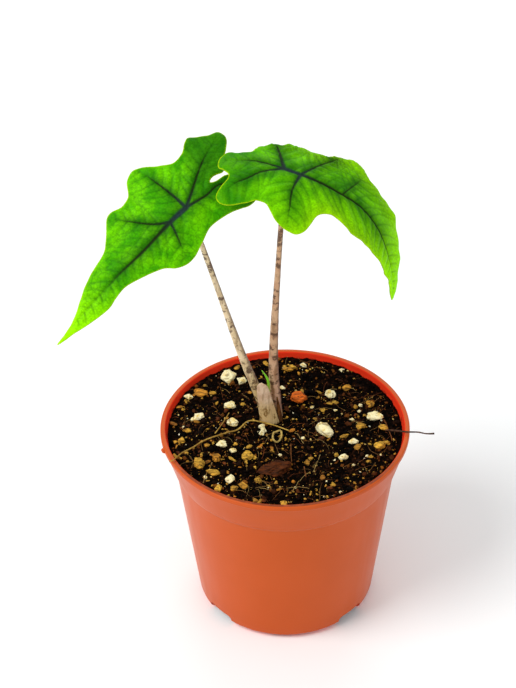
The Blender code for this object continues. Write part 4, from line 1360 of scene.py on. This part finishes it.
def scale_shell(height, azimuth, lean, radii, half_angles, rounding, seed):
    """Points, faces and height shares of a thin upright scale about the crown's centre, with a worn top."""
    rows, columns = SHEATH_ROWS, SHEATH_COLUMNS
    foot = SOIL_TOP - 1.0
    front, back, shares = [], [], []
    for row in range(rows):
        share = row / (rows - 1)
        half_angle = between(half_angles, share) * math.sqrt(max(1.0 - share ** rounding, 0.02))
        for column in range(columns):
            angle = math.radians(azimuth + half_angle * (2 * column / (columns - 1) - 1))
            crease = 0.15 * wave(angle * 6.0, share * 2.4, seed)
            out = between(radii, share) + crease
            x = CROWN_CENTRE[0] + lean[0] * share
            y = CROWN_CENTRE[1] + lean[1] * share
            ragged = 0.3 * wave(angle * 5.0, 0.0, seed + 5.0) * share ** 4
            z = foot + share * (SOIL_TOP + height - foot) + ragged
            for layer, depth in ((front, out + SHEATH_THICKNESS / 2), (back, out - SHEATH_THICKNESS / 2)):
                layer.append((x + depth * math.sin(angle), y - depth * math.cos(angle), z))
            shares.append(share)
    starts = [row * columns + column for row in range(rows - 1) for column in range(columns - 1)]
    faces = np.array([(a, a + 1, a + columns + 1, a + columns) for a in starts])
    return front + back, thickened(faces, rows * columns), np.array(shares * 2)


def make_sheath(finish, strip_finish):
    """The dry bract in front of the crown, and a brown strip of an older one at its right."""
    points, faces, shares = scale_shell(
        SHEATH_HEIGHT, SHEATH_AZIMUTH, SHEATH_LEAN, SHEATH_RADIUS, SHEATH_HALF_ANGLE, 14, 4.0)
    foot = smoothstep(0.72, 0.34, shares)
    piece("sheath_scale", points, faces, finish, ["old_sheath"], {"foot": foot})
    points, faces, shares = scale_shell(8.6, 47.0, (-0.7, 0.5), (4.2, 3.6), (13.0, 5.0), 4, 11.0)
    piece("sheath_strip", points, faces, strip_finish)


# ---------------- stage

def add_camera():
    """A camera in front of the pot that looks down at it."""
    elevation, roll = math.radians(CAMERA_ELEVATION), math.radians(CAMERA_ROLL)
    right = Vector((1.0, 0.0, 0.0))
    up = Vector((0.0, math.sin(elevation), math.cos(elevation)))
    back = Vector((0.0, -math.cos(elevation), math.sin(elevation)))
    turned_right = right * math.cos(roll) + up * math.sin(roll)
    turned_up = up * math.cos(roll) - right * math.sin(roll)
    axes = Matrix((turned_right, turned_up, back)).transposed().to_4x4()
    place = (Vector(CAMERA_TARGET) + back * CAMERA_DISTANCE) * MM
    data = bpy.data.cameras.new("camera")
    data.lens = CAMERA_LENS
    camera = bpy.data.objects.new("camera", data)
    camera.matrix_world = Matrix.Translation(place) @ axes
    bpy.context.scene.collection.objects.link(camera)
    bpy.context.scene.camera = camera


def add_light(name, place, target, size, watts, colour):
    """A round area light; place, target and size are in metres."""
    data = bpy.data.lights.new(name, "AREA")
    data.shape = "DISK"
    data.size = size
    data.energy = watts
    data.color = colour
    light = bpy.data.objects.new(name, data)
    light.location = place
    light.rotation_euler = (Vector(target) - Vector(place)).to_track_quat("-Z", "Y").to_euler()
    bpy.context.scene.collection.objects.link(light)


def add_stage():
    """Soft white surroundings, the paper floor and three lights."""
    world = bpy.data.worlds.new("studio")
    world.use_nodes = True
    background = world.node_tree.nodes["Background"]
    background.inputs["Color"].default_value = (0.98, 0.99, 1.0, 1.0)
    background.inputs["Strength"].default_value = 0.59
    bpy.context.scene.world = world
    bpy.context.scene.view_settings.view_transform = "Standard"
    floor = Finish("floor_paper", Roughness=0.9, Specular_IOR_Level=0.1)
    tone = floor.mix((0.93, 0.95, 0.95), (0.96, 0.98, 0.98), floor.noise(60.0))
    material = floor.done(tone)
    half = 3000.0
    corners = [(-half, -half, 0), (half, -half, 0), (half, half, 0), (-half, half, 0)]
    obj = new_object("floor", corners, [(0, 1, 2, 3)])
    obj.data.materials.append(material)
    obj.location.z = -0.0001
    add_light("key", (-0.75, -0.35, 0.95), (0, 0, 0.08), 0.7, 10.2, (1.0, 0.99, 0.98))
    add_light("fill", (0.9, -0.6, 0.7), (0, 0, 0.08), 1.2, 2.2, (0.98, 0.99, 1.0))
    add_light("back", (0.1, 1.0, 0.9), (0, 0, 0.1), 1.0, 4.0, (1.0, 1.0, 1.0))


# ---------------- assembly

add_camera()
add_stage()

make_pot(pot_finish())
make_soil(soil_finish())
scatter_crumbs(crumb_finish())
bark_skin = bark_finish()
make_grains(perlite_finish(), bark_skin)
scatter_grit(bark_skin)

left_skin = stalk_finish("stalk_skin_left", (0.960, 0.760, 0.490), (0.820, 0.620, 0.360),
                         (0.700, 0.520, 0.200), (0.300, 0.190, 0.050))
right_skin = stalk_finish("stalk_skin_right", (0.680, 0.430, 0.250), (0.580, 0.320, 0.180),
                          (0.760, 0.480, 0.320), (0.380, 0.190, 0.100))
make_stalk("petiole_left", LEFT_STALK, LEFT_BLADE, left_skin, 2.0)
make_stalk("petiole_right", RIGHT_STALK, RIGHT_BLADE, right_skin, 5.0)
crown_tones = (0.50, 0.34, 0.17), (0.34, 0.18, 0.07)
make_crown(stalk_finish("crown_skin", *crown_tones, *crown_tones))
strip_skin = drifting_finish("dry_strip_skin", (0.070, 0.022, 0.006), (0.200, 0.075, 0.016), 0.7)
make_sheath(sheath_finish(), strip_skin)
make_shoot(shoot_finish())

pale_root = drifting_finish("root_skin", (0.27, 0.145, 0.022), (0.52, 0.33, 0.060), 0.6)
dark_root = drifting_finish("dark_root_skin", (0.030, 0.016, 0.010), (0.110, 0.045, 0.022), 0.7)
make_root("root_long_body", LONG_ROOT, pale_root, "root_long")
make_root("root_fork_body", FORK_ROOT, pale_root, "root_fork", slimness=0.55)
make_root("root_rim_body", RIM_ROOT, dark_root, "root_over_rim", slimness=0.85)
make_fibres(fibre_finish())

make_leaf("leaf_left", LEFT_BLADE, leaf_finish("leaf_skin_left"), 3)
make_leaf("leaf_right", RIGHT_BLADE, leaf_finish("leaf_skin_right"), 8)
